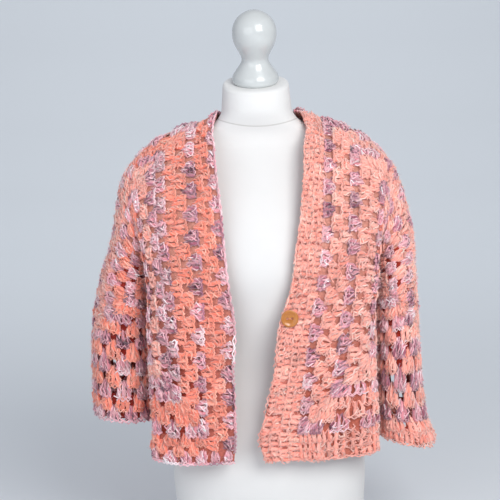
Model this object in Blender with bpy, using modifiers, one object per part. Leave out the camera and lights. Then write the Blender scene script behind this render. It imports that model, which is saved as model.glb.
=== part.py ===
"""Crochet hexagon cardigan worn on a limbless dress form.

Sizes are millimetres up to the final objects, which are in metres with +Z up. The front faces -Y and the
wearer's left is +X. Each half of the cardigan is one hexagon folded into an L: u runs from the front or the
centre back edge (-1) past the underarm (0) to the cuff (1), and v from the hem (-1) past the underarm (0) to
the shoulder seam (1).
"""

import math

import bmesh
import bpy
import numpy as np
from mathutils import Matrix, Vector

MM = 0.001
SEAM_GAP = 0.3
CLOTH = 4.6  # thickness of the crocheted fabric
HALF = CLOTH / 2

AROUND = 12  # cells from the underarm to the shoulder seam, in every piece that meets there
NEAR_UNDERARM = 0.05  # u or v of the line of points next to the underarm
BAND_U = -1.24  # where the fronts' bands end, in u
CUFF_U = 1.16  # where the cuffs end, in u
HEM_V = -1.18  # where the hem's rows end, in v
HEM_Z = 160.0
HEM_RISE = {"right": (16.0, -0.7, -0.2), "left": (26.0, -0.6, -0.05)}  # at the side, and from u to u
BACK_NECK_U = -0.70  # where the neck point meets the back's upper edge, in u
SEAM_PULL_V = 0.7
UNDERARM_OPEN = 6.0
NECK_RISE = 14.0

KNOB_TILT = math.radians(17.5)  # the neck plate slopes forward, and the knob stands square on it
NECK_TOP = 766.0
NECK_LEAN = -4.0  # how far the neck stands to the wearer's right of the hips
NECK_CENTRE_Y = -2.0

BUTTON_RADIUS = 14.0
BUTTON_THICKNESS = 4.0
BUTTON_HOLE_RADIUS = 1.4
BUTTON_HOLE_SPACING = 6.0
BUTTON_V = -0.31
BUTTON_W = 0.74
BUTTON_LIFT = 0.9  # clears the band's slight curve

# Guide lines of one front, each down the cloth at one u: v, x on the right half, x on the left half, y, z.
FRONT_GUIDES = {
    -1.0: (
        (-1.0, 98, 46, -140, 205),
        (-0.5, 100, 64, -141, 340),
        (0.0, 100, 88, -138, 478),
        (0.25, 104, 95, -131, 545),
        (0.5, 106, 99, -108, 608),
        (0.75, 108, 104, -66, 664),
        (1.0, 102, 103, -3, 705),
    ),
    -0.75: (
        (-1.0, 146, 98, -136, 205),
        (-0.5, 148, 120, -138, 340),
        (0.0, 156, 139, -131, 474),
        (0.25, 162, 144, -119, 540),
        (0.5, 163, 150, -94, 600),
        (0.75, 163, 153, -54, 652),
        (1.0, 150, 148, 11, 688),
    ),
    -0.55: (
        (-1.0, 186, 168, -106, 207),
        (-0.5, 187, 169, -108, 338),
        (0.0, 188, 179, -104, 466),
        (0.25, 194, 187, -99, 530),
        (0.5, 202, 193, -84, 584),
        (0.75, 206, 201, -46, 634),
        (1.0, 194, 190, 19, 662),
    ),
    -0.28: (
        (-1.0, 180, 172, -50, 210),
        (-0.5, 178, 172, -52, 336),
        (0.0, 178, 172, -58, 459),
        (0.25, 193, 187, -72, 504),
        (0.5, 212, 204, -80, 550),
        (0.75, 230, 222, -44, 598),
        (1.0, 222, 218, 23, 619),
    ),
}
# The line down the side of the body, from the underarm to the hem, which front and back share.
SIDE_GUIDE = (
    (-1.0, 178, 172, 6, 211),
    (-0.5, 177, 172, 6, 338),
    (-0.12, 178, 172, 6, 442),
    (0.0, 184, 178, 6, 470),
)
BACK_GUIDES = {
    -1.0: (
        (-1.0, 0.15, 0.15, 117, 205),
        (-0.5, 0.15, 0.15, 113, 343),
        (0.0, 0.15, 0.15, 107, 480),
        (0.25, 0.15, 0.15, 109, 545),
        (0.5, 0.15, 0.15, 108, 610),
        (0.75, 0.15, 0.15, 96, 666),
        (1.0, 0.15, 0.15, 61, 712),
    ),
    -0.85: (
        (-1.0, 34, 33, 117, 205),
        (-0.5, 34, 33, 113, 343),
        (0.0, 35, 34, 107, 479),
        (0.25, 37, 36, 110, 544),
        (0.5, 39, 38, 109, 608),
        (0.75, 43, 42, 89, 667),
        (1.0, 50, 45, 50, 714),
    ),
    BACK_NECK_U: (
        (-1.0, 68, 66, 116, 206),
        (-0.5, 68, 66, 112, 342),
        (0.0, 69, 68, 107, 478),
        (0.25, 72, 70, 109, 543),
        (0.5, 76, 74, 105, 608),
        (0.75, 82, 80, 74, 676),
        (1.0, 71, 68, -2, 719),
    ),
    -0.3: (
        (-1.0, 156, 150, 84, 208),
        (-0.5, 154, 150, 82, 340),
        (0.0, 162, 156, 86, 470),
        (0.25, 180, 172, 92, 530),
        (0.5, 196, 188, 94, 580),
        (0.75, 202, 196, 78, 628),
        (1.0, 182, 180, 17, 670),
    ),
    -0.12: (
        (-1.0, 176, 170, 46, 210),
        (-0.5, 174, 170, 46, 339),
        (0.0, 175, 169, 44, 454),
        (0.25, 184, 176, 62, 484),
        (0.5, 214, 206, 86, 530),
        (0.75, 236, 230, 68, 572),
        (1.0, 226, 222, 24, 603),
    ),
}
# Rings round each sleeve: u, then x of the inner and outer side, y of the front and back, and z of the inner
# and outer side.
SLEEVE_RINGS = {
    "right": (
        (0.0, 184, 250, -84, 88, 470, 512),
        (0.33, 190, 270, -80, 86, 419, 454),
        (0.66, 190, 287, -76, 82, 347, 372),
        (1.0, 190, 293, -72, 80, 250, 262),
        (CUFF_U, 194, 292, -70, 78, 212, 222),
    ),
    "left": (
        (0.0, 178, 248, -84, 88, 470, 512),
        (0.33, 184, 252, -80, 86, 410, 440),
        (0.66, 184, 256, -76, 82, 324, 338),
        (1.0, 184, 266, -76, 84, 208, 200),
        (CUFF_U, 184, 281, -80, 88, 172, 158),
    ),
}
RING_CENTRE_Y = 6.0
RING_SQUARENESS = 2.3
SEAM_BEHIND = 24.0  # the sleeve's seam lies this far behind its outermost line

# The shoulder seam from the neck point to the sleeve: x right, x left, y, z.
SEAM_LINE = (
    (71, 68, -2, 719),
    (102, 103, -3, 705),
    (150, 148, 11, 688),
    (192, 188, 19, 663),
    (222, 218, 23, 619),
)
# The free edges of the two fronts' bands: z, x on the right half, x on the left half, y.
FRONT_EDGES = (
    (160, -58, -9, -139),
    (198, -54, -16, -141),
    (233, -54, -6, -142),
    (313, -54, 12, -143),
    (388, -51, 23, -143),
    (440, -57, 41, -142),
    (508, -63, 53, -139),
    (554, -65, 60, -131),
    (624, -72, 68, -106),
    (664, -75, 71, -76),
    (692, -78, 76, -42),
    (719, -71, 68, -2),
)

# The dress form: z, half width, y of the front, y of the back.
FORM_SECTIONS = (
    (0, 155, -93, 96),
    (60, 160, -100, 102),
    (115, 163, -106, 104),
    (200, 152, -102, 94),
    (320, 124, -88, 72),
    (400, 137, -108, 80),
    (470, 150, -124, 92),
    (530, 156, -114, 97),
    (585, 168, -88, 96),
    (625, 180, -62, 84),
    (648, 180, -46, 66),
    (664, 164, -36, 54),
    (677, 136, -34, 49),
    (687, 108, -36, 49),
    (695, 85, -40, 49),
    (704, 69, -45, 49),
    (714, 61, -50, 50),
    (736, 57, -53, 49),
)
FORM_SIDES = 56
FORM_SQUARENESS = 2.25
FORM_EDGE = 6.0  # radius of the neck plate's edge

# The turned knob's profile: height above the neck plate, radius.
KNOB_PROFILE = (
    (0.0, 35.5),
    (2.0, 37.6),
    (8.0, 38.4),
    (13.0, 37.4),
    (19.0, 33.6),
    (25.0, 29.2),
    (31.0, 25.2),
    (38.0, 22.2),
    (44.0, 22.8),
    (50.0, 25.4),
    (56.0, 28.6),
    (64.0, 32.6),
    (74.0, 35.7),
    (84.5, 36.4),
    (95.0, 35.0),
    (104.5, 30.4),
    (112.0, 23.8),
    (117.0, 15.8),
    (120.0, 8.0),
    (121.0, 0.0),
)

COLOURS = {
    "coral_yarn": ((0.93, 0.37, 0.24, 1.0), 0.95),
    "form_jersey": ((0.90, 0.90, 0.89, 1.0), 0.85),
    "white_gloss_paint": ((0.90, 0.90, 0.90, 1.0), 0.25),
    "amber_resin": ((0.62, 0.28, 0.04, 1.0), 0.35),
}


def clear_scene():
    for obj in list(bpy.data.objects):
        bpy.data.objects.remove(obj, do_unlink=True)


def material(name):
    found = bpy.data.materials.get(name)
    if found:
        return found
    colour, roughness = COLOURS[name]
    made = bpy.data.materials.new(name)
    made.use_nodes = True
    shader = made.node_tree.nodes["Principled BSDF"]
    shader.inputs["Base Color"].default_value = colour
    shader.inputs["Roughness"].default_value = roughness
    shader.inputs["Metallic"].default_value = 0.0
    return made


def spline(knots, values, t):
    """A smooth curve through values at knots, read at t."""
    knots = np.asarray(knots, float)
    values = np.asarray(values, float)
    steps = np.diff(knots)[:, None]
    slopes = np.diff(values, axis=0) / steps
    tangents = np.empty_like(values)
    tangents[0], tangents[-1] = slopes[0], slopes[-1]
    tangents[1:-1] = (slopes[:-1] * steps[1:] + slopes[1:] * steps[:-1]) / (steps[:-1] + steps[1:])
    i = int(np.clip(np.searchsorted(knots, t) - 1, 0, len(knots) - 2))
    h = float(steps[i, 0])
    s = (t - knots[i]) / h
    return (
        (2 * s**3 - 3 * s**2 + 1) * values[i]
        + (s**3 - 2 * s**2 + s) * h * tangents[i]
        + (3 * s**2 - 2 * s**3) * values[i + 1]
        + (s**3 - s**2) * h * tangents[i + 1]
    )


def ease(t, low, high):
    s = min(max((t - low) / (high - low), 0.0), 1.0)
    return s * s * (3 - 2 * s)


class Half:
    """The surface of one half of the cardigan; outward is -1 for the wearer's right and 1 for the left."""

    def __init__(self, name):
        self.outward = -1 if name == "right" else 1
        self.column = 1 if name == "right" else 2
        self.hem_rise = HEM_RISE[name]
        self.rings = [self.ring(row) for row in SLEEVE_RINGS[name]]
        self.ring_knots = [row[0] for row in SLEEVE_RINGS[name]]
        shoulder = [(self.outward * row[self.column - 1], row[2], row[3]) for row in SEAM_LINE]
        self.seam_points = np.array(shoulder + [self.ring_point(0, 1.0, False)])
        steps = np.linalg.norm(np.diff(self.seam_points, axis=0), axis=1)
        self.seam_lengths = np.concatenate([[0.0], np.cumsum(steps)])

    def ring(self, row):
        """Two lines round a sleeve from its underside to the seam: by the front, and by the back."""
        _, inner, outer, front, back, inner_z, outer_z = row
        centre, half_width = (inner + outer) / 2, (outer - inner) / 2
        power = 2 / RING_SQUARENESS
        a = np.linspace(0, 2 * math.pi, 361)
        c, s = np.cos(a), np.sin(a)
        depth = np.where(s > 0, front - RING_CENTRE_Y, RING_CENTRE_Y - back)
        x = centre - half_width * np.sign(c) * np.abs(c) ** power
        y = RING_CENTRE_Y + depth * np.sign(s) * np.abs(s) ** power
        z = inner_z + (outer_z - inner_z) * (x - inner) / (outer - inner)
        points = np.stack([self.outward * x, y, z], axis=1)
        seam = 180 + int(np.argmax(y[180:] > RING_CENTRE_Y + SEAM_BEHIND))
        made = []
        for line in (points[: seam + 1], points[seam:][::-1]):
            along = np.concatenate([[0.0], np.cumsum(np.linalg.norm(np.diff(line, axis=0), axis=1))])
            made.append((along / along[-1], line))
        return made

    def ring_point(self, k, v, back):
        along, line = self.rings[k][1 if back else 0]
        return np.array([np.interp(v, along, line[:, axis]) for axis in range(3)])

    def guide(self, rows, v):
        values = [(self.outward * row[self.column], row[3], row[4]) for row in rows]
        return spline([row[0] for row in rows], values, v)

    def seam(self, length):
        """The point that far along the shoulder seam from the neck point."""
        return spline(self.seam_lengths, self.seam_points, length)

    def seam_ends(self, back):
        """The seam's lengths at the neck, at the band's edge and at the sleeve, and u of the cloth there."""
        lengths = [0.0, float(self.seam_lengths[1]), float(self.seam_lengths[-1])]
        if back:
            return lengths, [BACK_NECK_U * (1 - length / lengths[2]) for length in lengths]
        return lengths, [BAND_U, -1.0, 0.0]

    def seam_length(self, u, back):
        """How far along the shoulder seam the front's or back's edge is at u, for u up to 0."""
        lengths, us = self.seam_ends(back)
        return float(np.interp(u, us, lengths))

    def seam_u(self, length, back):
        lengths, us = self.seam_ends(back)
        return float(np.interp(length, lengths, us))

    def apart(self, u, v):
        """How far the sleeve and the body's side are held off each other just below the underarm."""
        depth = u if u > 0 else max(-u, -v)
        near = ease(depth, 0.0, 0.09) * (1 - ease(depth, 0.15, 0.5)) * (1 - ease(v, 0.05, 0.35))
        return UNDERARM_OPEN * near * (1 if u > 0 else -1)

    def cloth(self, u, v, back):
        """The hexagon's own surface, for v from -1 to 1."""
        guides = BACK_GUIDES if back else FRONT_GUIDES
        knots = list(guides) + [0.0]
        body = [self.guide(rows, v) for rows in guides.values()]
        apart = np.array([self.outward * self.apart(u, v), 0.0, 0.0])
        if v <= 0 and u <= 0:
            return spline(knots, body + [self.guide(SIDE_GUIDE, v)], u) + apart
        rings = [self.ring_point(k, v, back) for k in range(len(self.rings))]
        whole = spline(knots[:-1] + self.ring_knots, body + rings, u)
        if u >= 0:
            share, piece = ease(v, 0.0, 0.25) * (1 - ease(v, 0.8, 1.0)), spline(self.ring_knots, rings, u)
        else:
            share, piece = ease(v, 0.0, 0.25), spline(knots, body + rings[:1], u)
        return share * whole + (1 - share) * piece + apart

    def sewn(self, u, v, back):
        """The hexagon's surface with its upper edge brought to the shoulder seam."""
        p = self.cloth(u, v, back)
        if u >= 0 or v <= SEAM_PULL_V:
            return p
        if back and u < BACK_NECK_U:
            return p
        pull = self.seam(self.seam_length(u, back)) - self.cloth(u, 1.0, back)
        return p + ease(v, SEAM_PULL_V, 1.0) * pull

    def band_edge(self, v):
        """The free edge of the front band beside v."""
        z = self.body(-1.0, v, False)[2] + NECK_RISE * ease(v, 0.5, 1.0)
        values = [(row[self.column], row[3], row[0]) for row in FRONT_EDGES]
        return spline([row[0] for row in FRONT_EDGES], values, z)

    def body(self, u, v, back):
        """The hexagon with its hem rows, for v from HEM_V."""
        if v >= -1:
            return self.sewn(u, v, back)
        top = self.sewn(u, -1.0, back)
        size, start, end = self.hem_rise
        flare = self.outward * 1.5 if u > -0.9 else 0.0
        bottom = np.array([top[0] + flare, top[1], HEM_Z + size * ease(u, start, end)])
        return top + (-1 - v) / (-1 - HEM_V) * (bottom - top)

    def point(self, u, v, back=False):
        """The middle of the fabric. Past an edge that another piece is sewn to, it is that piece's."""
        if v > 1:
            other = u if u >= 0 else self.seam_u(self.seam_length(u, back), not back)
            return self.point(other, 2 - v, not back)
        if u > 0 and v < 0:
            return self.point(u, -v, not back) if u >= -v else self.point(-u, v, not back)
        if u < -1 and back:
            p = self.point(-2 - u, v, True)
            return np.array([-p[0], p[1], p[2]])
        if u < -1:
            inner, edge = self.body(-1.0, v, False), self.band_edge(v)
            return inner + (-1 - u) / (-1 - BAND_U) * (edge - inner)
        return self.body(u, v, back)

    def normal(self, u, v, back=False, step=0.006):
        """The outward direction across the fabric."""
        if abs(u) < step and abs(v) < step:
            return np.array([0.0, 0.0, -1.0])
        low_u = u - step if u - step >= BAND_U or back else u
        high_u = u + step if u + step <= CUFF_U else u
        low_v = v - step if v - step >= HEM_V else v
        high_v = v + step
        if back and u < BACK_NECK_U and high_v > 1:
            high_v = v
        across = self.point(high_u, v, back) - self.point(low_u, v, back)
        up = self.point(u, high_v, back) - self.point(u, low_v, back)
        n = np.cross(across, up) * self.outward * (-1 if back else 1)
        return n / np.linalg.norm(n)


def steps(low, high, cells):
    return [low + (high - low) * i / cells for i in range(cells + 1)]


def inset(grid, gaps):
    """Moves a grid's edges in by half a seam's gap, where gaps flags the first and last rows and columns."""
    moved = grid.copy()
    for flag, edge, inner in zip(gaps, (0, -1), (1, -2)):
        if flag:
            d = grid[inner] - grid[edge]
            moved[edge] += d / np.linalg.norm(d, axis=-1, keepdims=True) * SEAM_GAP / 2
    for flag, edge, inner in zip(gaps[2:], (0, -1), (1, -2)):
        if flag:
            d = grid[:, inner] - grid[:, edge]
            moved[:, edge] += d / np.linalg.norm(d, axis=-1, keepdims=True) * SEAM_GAP / 2
    return moved


def edge_wall(bm, start, end):
    """One step of the wall along an edge, split from the lower point's outer corner, as its neighbour's is."""
    if start[0].co.z + start[1].co.z <= end[0].co.z + end[1].co.z:
        bm.faces.new((start[0], end[0], end[1]))
        bm.faces.new((start[0], end[1], start[1]))
    else:
        bm.faces.new((start[0], end[0], start[1]))
        bm.faces.new((end[0], end[1], start[1]))


def fabric(name, middle, normals, gaps, ring=False):
    """A closed wall of fabric round a grid of its middle points; ring joins the last column to the first."""
    middle = inset(middle, gaps)
    rows, columns = middle.shape[:2]
    bm = bmesh.new()
    sides = [
        [[bm.verts.new(Vector(p * MM)) for p in line] for line in middle + HALF * way * normals]
        for way in (1, -1)
    ]
    outer, inner = sides
    wraps = columns if ring else columns - 1
    for i in range(rows - 1):
        for j in range(wraps):
            k = (j + 1) % columns
            bm.faces.new((outer[i][j], outer[i + 1][j], outer[i + 1][k], outer[i][k]))
            bm.faces.new((inner[i][j], inner[i][k], inner[i + 1][k], inner[i + 1][j]))
    for j in range(wraps):
        k = (j + 1) % columns
        edge_wall(bm, (outer[0][j], inner[0][j]), (outer[0][k], inner[0][k]))
        edge_wall(bm, (outer[-1][k], inner[-1][k]), (outer[-1][j], inner[-1][j]))
    if not ring:
        for i in range(rows - 1):
            edge_wall(bm, (outer[i + 1][0], inner[i + 1][0]), (outer[i][0], inner[i][0]))
            edge_wall(bm, (outer[i][-1], inner[i][-1]), (outer[i + 1][-1], inner[i + 1][-1]))
    if bm.calc_volume(signed=True) < 0:
        bmesh.ops.reverse_faces(bm, faces=bm.faces)
    return finish(name, bm, "coral_yarn")


def finish(name, bm, material_name):
    mesh = bpy.data.meshes.new(name)
    bm.to_mesh(mesh)
    bm.free()
    mesh.shade_smooth()
    mesh.set_sharp_from_angle(angle=math.radians(40))
    mesh.materials.append(material(material_name))
    obj = bpy.data.objects.new(name, mesh)
    PARTS.objects.link(obj)
    return obj


def patch(half, us, vs, back):
    middle = np.array([[half.point(u, v, back) for v in vs] for u in us])
    normals = np.array([[half.normal(u, v, back) for v in vs] for u in us])
    return middle, normals


def tube(half, us, cells):
    """A sleeve's grid: each row goes from the underside by the front to the seam, and on round the back."""
    middle, normals = [], []
    for u in us:
        turn = [(v, False) for v in steps(0, 1, cells)] + [(v, True) for v in steps(1, 0, cells)[1:-1]]
        middle.append([half.point(u, v, back) for v, back in turn])
        normals.append([half.normal(u, v, back) for v, back in turn])
    return np.array(middle), np.array(normals)


def cardigan_half(name):
    half = Half(name)
    body_v = steps(-1, 0, 8)[:-1] + [-NEAR_UNDERARM] + steps(0, 1, AROUND)
    front_u = steps(-1, -0.7, 2) + steps(-0.7, 0, 8)[1:-1] + [-NEAR_UNDERARM, 0.0]
    back_u = steps(-1, BACK_NECK_U, 3) + [half.seam_u(half.seam_length(u, False), True) for u in front_u]
    sleeve_u = [0.0, NEAR_UNDERARM] + steps(0, 1, 8)[1:]
    fabric(name + "_front", *patch(half, front_u, body_v, False), (1, 1, 1, 1))
    fabric(name + "_back", *patch(half, back_u, body_v, True), (0, 1, 1, 1))
    fabric(name + "_sleeve", *tube(half, sleeve_u, AROUND), (1, 1, 0, 0), ring=True)
    fabric(name + "_cuff", *tube(half, steps(1, CUFF_U, 1), AROUND), (1, 0, 0, 0), ring=True)
    fabric(name + "_front_hem", *patch(half, front_u, steps(HEM_V, -1, 1), False), (1, 1, 0, 1))
    fabric(name + "_back_hem", *patch(half, back_u, steps(HEM_V, -1, 1), True), (0, 1, 0, 1))
    band_v = [HEM_V] + body_v
    fabric(name + "_band", *patch(half, steps(BAND_U, -1, 1), band_v, False), (0, 1, 0, 0))
    return half


def ring_points(z, half_width, front, back):
    power = 2 / FORM_SQUARENESS
    middle, depth = (front + back) / 2, (back - front) / 2
    points = []
    for i in range(FORM_SIDES):
        a = 2 * math.pi * i / FORM_SIDES
        c, s = math.cos(a), math.sin(a)
        x = half_width * math.copysign(abs(c) ** power, c) + NECK_LEAN * z / NECK_TOP
        y = middle + depth * math.copysign(abs(s) ** power, s)
        points.append((x, y, z))
    return points


def dress_form():
    """A torso lofted through level sections, with a neck that ends in a plate sloping forward."""
    levels = [ring_points(*row) for row in FORM_SECTIONS]
    _, neck_width, neck_front, neck_back = FORM_SECTIONS[-1]
    for drop, shrink in ((FORM_EDGE, 0.0), (FORM_EDGE * 0.3, FORM_EDGE * 0.3), (0.0, FORM_EDGE)):
        inner = (neck_width - 2 - shrink, neck_front + 1 + shrink, neck_back - 1 - shrink)
        ring = ring_points(NECK_TOP - drop, *inner)
        levels.append([(x, y, z + (y - NECK_CENTRE_Y) * math.tan(KNOB_TILT)) for x, y, z in ring])
    bm = bmesh.new()
    rings = [[bm.verts.new(Vector(p) * MM) for p in level] for level in levels]
    for low, high in zip(rings, rings[1:]):
        for i in range(FORM_SIDES):
            j = (i + 1) % FORM_SIDES
            bm.faces.new((low[i], low[j], high[j], high[i]))
    bm.faces.new(rings[0][::-1])
    bm.faces.new(rings[-1])
    return finish("form_torso", bm, "form_jersey")


def knob():
    """A turned wooden finial with a Screw modifier round its axis."""
    mesh = bpy.data.meshes.new("form_knob")
    profile = [(radius * MM, 0.0, (height + SEAM_GAP) * MM) for height, radius in reversed(KNOB_PROFILE)]
    profile.append((0.0, 0.0, SEAM_GAP * MM))
    mesh.from_pydata(profile, [(i, i + 1) for i in range(len(profile) - 1)], [])
    mesh.materials.append(material("white_gloss_paint"))
    obj = bpy.data.objects.new("form_knob", mesh)
    PARTS.objects.link(obj)
    screw = obj.modifiers.new("Turn", "SCREW")
    screw.steps = screw.render_steps = 28
    screw.use_merge_vertices = True
    screw.merge_threshold = 0.00005
    screw.use_smooth_shade = True
    obj.rotation_euler = (KNOB_TILT, 0.0, 0.0)
    obj.location = Vector((NECK_LEAN, NECK_CENTRE_Y, NECK_TOP)) * MM
    return obj


def button(half):
    """A two-hole button lying on the left front's band."""
    bm = bmesh.new()
    bmesh.ops.create_cone(
        bm,
        cap_ends=True,
        segments=36,
        radius1=BUTTON_RADIUS * MM,
        radius2=BUTTON_RADIUS * MM,
        depth=BUTTON_THICKNESS * MM,
    )
    rims = [e for e in bm.edges if abs(e.verts[0].co.z - e.verts[1].co.z) < 1e-6]
    bmesh.ops.bevel(bm, geom=rims, offset=1.2 * MM, segments=2, profile=0.5, affect="EDGES", material=-1)
    obj = finish("button", bm, "amber_resin")
    for side in (-1, 1):
        cutter = bmesh.new()
        bmesh.ops.create_cone(
            cutter,
            cap_ends=True,
            segments=12,
            radius1=BUTTON_HOLE_RADIUS * MM,
            radius2=BUTTON_HOLE_RADIUS * MM,
            depth=3 * BUTTON_THICKNESS * MM,
            matrix=Matrix.Translation((0.0, side * BUTTON_HOLE_SPACING / 2 * MM, 0.0)),
        )
        mesh = bpy.data.meshes.new("button_hole")
        cutter.to_mesh(mesh)
        cutter.free()
        hole = bpy.data.objects.new("button_hole", mesh)
        CUTTERS.objects.link(hole)
        hole.hide_render = True
        hole.display_type = "WIRE"
        hole.parent = obj
        cut = obj.modifiers.new("Hole", "BOOLEAN")
        cut.object = hole
        cut.operation = "DIFFERENCE"
    u = -1 + BUTTON_W * (BAND_U + 1)
    n = half.normal(u, BUTTON_V)
    lift = HALF + BUTTON_LIFT + BUTTON_THICKNESS / 2
    obj.location = Vector((half.point(u, BUTTON_V) + n * lift) * MM)
    obj.rotation_euler = Vector(n).to_track_quat("Z", "Y").to_euler()
    return obj


def centre_on_floor():
    """Moves everything so that the origin is at the middle of the bottom of the whole object's box."""
    bpy.context.view_layer.update()
    graph = bpy.context.evaluated_depsgraph_get()
    corners = []
    for obj in PARTS.objects:
        evaluated = obj.evaluated_get(graph)
        mesh = evaluated.to_mesh()
        corners += [obj.matrix_world @ v.co for v in mesh.vertices]
        evaluated.to_mesh_clear()
    low = [min(c[k] for c in corners) for k in range(3)]
    high = [max(c[k] for c in corners) for k in range(3)]
    shift = Vector((-(low[0] + high[0]) / 2, -(low[1] + high[1]) / 2, -low[2]))
    for obj in PARTS.objects:
        obj.location += shift
    print("moved by", tuple(round(x, 5) for x in shift), "size", [round(b - a, 4) for a, b in zip(low, high)])


clear_scene()
PARTS = bpy.data.collections.new("crochet_cardigan_on_dress_form")
CUTTERS = bpy.data.collections.new("cutters")
for made in (PARTS, CUTTERS):
    bpy.context.scene.collection.children.link(made)
dress_form()
knob()
cardigan_half("right")
button(cardigan_half("left"))
centre_on_floor()
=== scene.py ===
# %% [markdown]
# # Crochet hexagon cardigan on a dress form
# A granny-stitch cardigan is two crocheted hexagons, each folded into an L: one leg is half the body, the other
# is a sleeve. The rounds start at the underarm and grow outwards. This lesson builds each stitch cluster from
# strands of yarn, lays the clusters along the rounds on the folded surface, and dresses a white form with them.

import math

import bmesh
import bpy
import numpy as np
from mathutils import Matrix, Vector


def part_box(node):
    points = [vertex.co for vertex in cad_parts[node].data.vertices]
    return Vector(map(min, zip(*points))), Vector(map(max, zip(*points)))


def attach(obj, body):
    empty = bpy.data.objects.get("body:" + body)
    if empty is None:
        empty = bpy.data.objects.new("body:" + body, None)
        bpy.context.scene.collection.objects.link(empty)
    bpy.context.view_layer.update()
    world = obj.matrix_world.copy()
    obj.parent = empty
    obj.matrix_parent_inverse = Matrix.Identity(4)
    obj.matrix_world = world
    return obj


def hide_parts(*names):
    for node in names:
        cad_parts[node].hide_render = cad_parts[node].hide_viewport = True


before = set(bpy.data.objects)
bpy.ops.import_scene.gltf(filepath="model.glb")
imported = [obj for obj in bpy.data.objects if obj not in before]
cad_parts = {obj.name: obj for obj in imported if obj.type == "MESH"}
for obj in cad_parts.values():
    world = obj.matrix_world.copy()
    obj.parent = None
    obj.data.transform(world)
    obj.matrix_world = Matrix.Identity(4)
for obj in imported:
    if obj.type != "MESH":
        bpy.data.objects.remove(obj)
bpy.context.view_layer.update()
MM = 0.001
rng = np.random.default_rng(14)
print("nodes", sorted(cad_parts))

# %% [markdown]
# ## Camera
# The picture was taken from the front, at the height of the neck, with a long lens and a slight roll. The lens could
# be guessed by eye, but here it was fitted to places that can be named in the photo, such as the knob, the button and
# the hem's corners. The places below are millimetres from the form's axis and its underside, so one helper turns them
# into the frame's metres.

# %% The form's axis in the frame
torso_low, torso_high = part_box("form_torso")
TORSO_MIDDLE = (-3.32, -10.0)  # the middle of the torso's box, from its axis
SHIFT = np.array([(torso_low[k] + torso_high[k]) / 2 / MM - TORSO_MIDDLE[k] for k in (0, 1)] + [0.0])
print("form axis in the frame, mm", SHIFT.round(2))


def to_frame(points):
    """Millimetres from the form's axis and underside, in the frame's metres."""
    return (np.asarray(points, float) + SHIFT) * MM


def add_object(name, data):
    """An object at the origin, linked to the scene."""
    obj = bpy.data.objects.new(name, data)
    bpy.context.scene.collection.objects.link(obj)
    return obj


def mesh_from(bm, name):
    """The bmesh as a named mesh. The bmesh is freed."""
    mesh = bpy.data.meshes.new(name)
    bm.to_mesh(mesh)
    bm.free()
    return mesh


# %% Camera at the photo's angle
EYE = np.array([-22.0, -2200.0, 730.0])
AIM = np.array([-22.0, 0.0, 487.0])
ROLL = math.radians(1.8)
SENSOR, LENS = 36.0, 94.86  # millimetres
ahead = (AIM - EYE) / np.linalg.norm(AIM - EYE)
level = np.cross(ahead, (0.0, 0.0, 1.0))
level /= np.linalg.norm(level)
upright = np.cross(level, ahead)
across = math.cos(ROLL) * level - math.sin(ROLL) * upright
upward = math.sin(ROLL) * level + math.cos(ROLL) * upright
camera_data = bpy.data.cameras.new("camera")
camera_data.sensor_width = SENSOR
camera_data.lens = LENS
camera_data.clip_end = 50.0
camera = add_object("camera", camera_data)
turn = Matrix([[across[k], upward[k], -ahead[k]] for k in range(3)]).to_4x4()
camera.matrix_world = Matrix.Translation(Vector(to_frame(EYE))) @ turn
bpy.context.scene.camera = camera
print("camera at", [round(c, 3) for c in to_frame(EYE)], "lens", LENS)

# %% [markdown]
# ## The folded surface
# Each half is one hexagon folded into an L. A place on it is (u, v): u runs from the front or centre back edge
# (-1) past the underarm (0) to the cuff (1), and v from the hem (-1) past the underarm (0) to the shoulder seam
# (1). The same guide lines as the solids' give the worn shape, so the stitches lie where the solids are.

# %% How far the hexagon and its borders reach
BAND_U = -1.24  # where the fronts' bands end, in u
CUFF_U = 1.16  # where the cuffs end, in u
HEM_V = -1.18  # where the hem's rows end, in v
HEM_Z = 160.0  # the hem's height in the middle, in mm
HEM_RISE = {"right": (16.0, -0.7, -0.2), "left": (26.0, -0.6, -0.05)}  # at the side, and from u to u
BACK_NECK_U = -0.70  # where the neck point meets the back's upper edge, in u
SEAM_PULL_V = 0.7  # above this v the upper edge is drawn to the shoulder seam
UNDERARM_OPEN = 6.0  # mm between sleeve and body below the underarm
NECK_RISE = 14.0  # mm that the band climbs beside the neck
HEM_FLARE = 1.5  # mm that the hem stands out at the side
print("bands end at u", BAND_U, "cuffs at u", CUFF_U, "hem at v", HEM_V)

# %% Guide lines of the fronts
# Each runs down the cloth at one u: v, x on the right half, x on the left half, y, z.
FRONT_GUIDES = {
    -1.0: (
        (-1.0, 98, 46, -140, 205),
        (-0.5, 100, 64, -141, 340),
        (0.0, 100, 88, -138, 478),
        (0.25, 104, 95, -131, 545),
        (0.5, 106, 99, -108, 608),
        (0.75, 108, 104, -66, 664),
        (1.0, 102, 103, -3, 705),
    ),
    -0.75: (
        (-1.0, 146, 98, -136, 205),
        (-0.5, 148, 120, -138, 340),
        (0.0, 156, 139, -131, 474),
        (0.25, 162, 144, -119, 540),
        (0.5, 163, 150, -94, 600),
        (0.75, 163, 153, -54, 652),
        (1.0, 150, 148, 11, 688),
    ),
    -0.55: (
        (-1.0, 186, 168, -106, 207),
        (-0.5, 187, 169, -108, 338),
        (0.0, 188, 179, -104, 466),
        (0.25, 194, 187, -99, 530),
        (0.5, 202, 193, -84, 584),
        (0.75, 206, 201, -46, 634),
        (1.0, 194, 190, 19, 662),
    ),
    -0.28: (
        (-1.0, 180, 172, -50, 210),
        (-0.5, 178, 172, -52, 336),
        (0.0, 178, 172, -58, 459),
        (0.25, 193, 187, -72, 504),
        (0.5, 212, 204, -80, 550),
        (0.75, 230, 222, -44, 598),
        (1.0, 222, 218, 23, 619),
    ),
}
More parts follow.
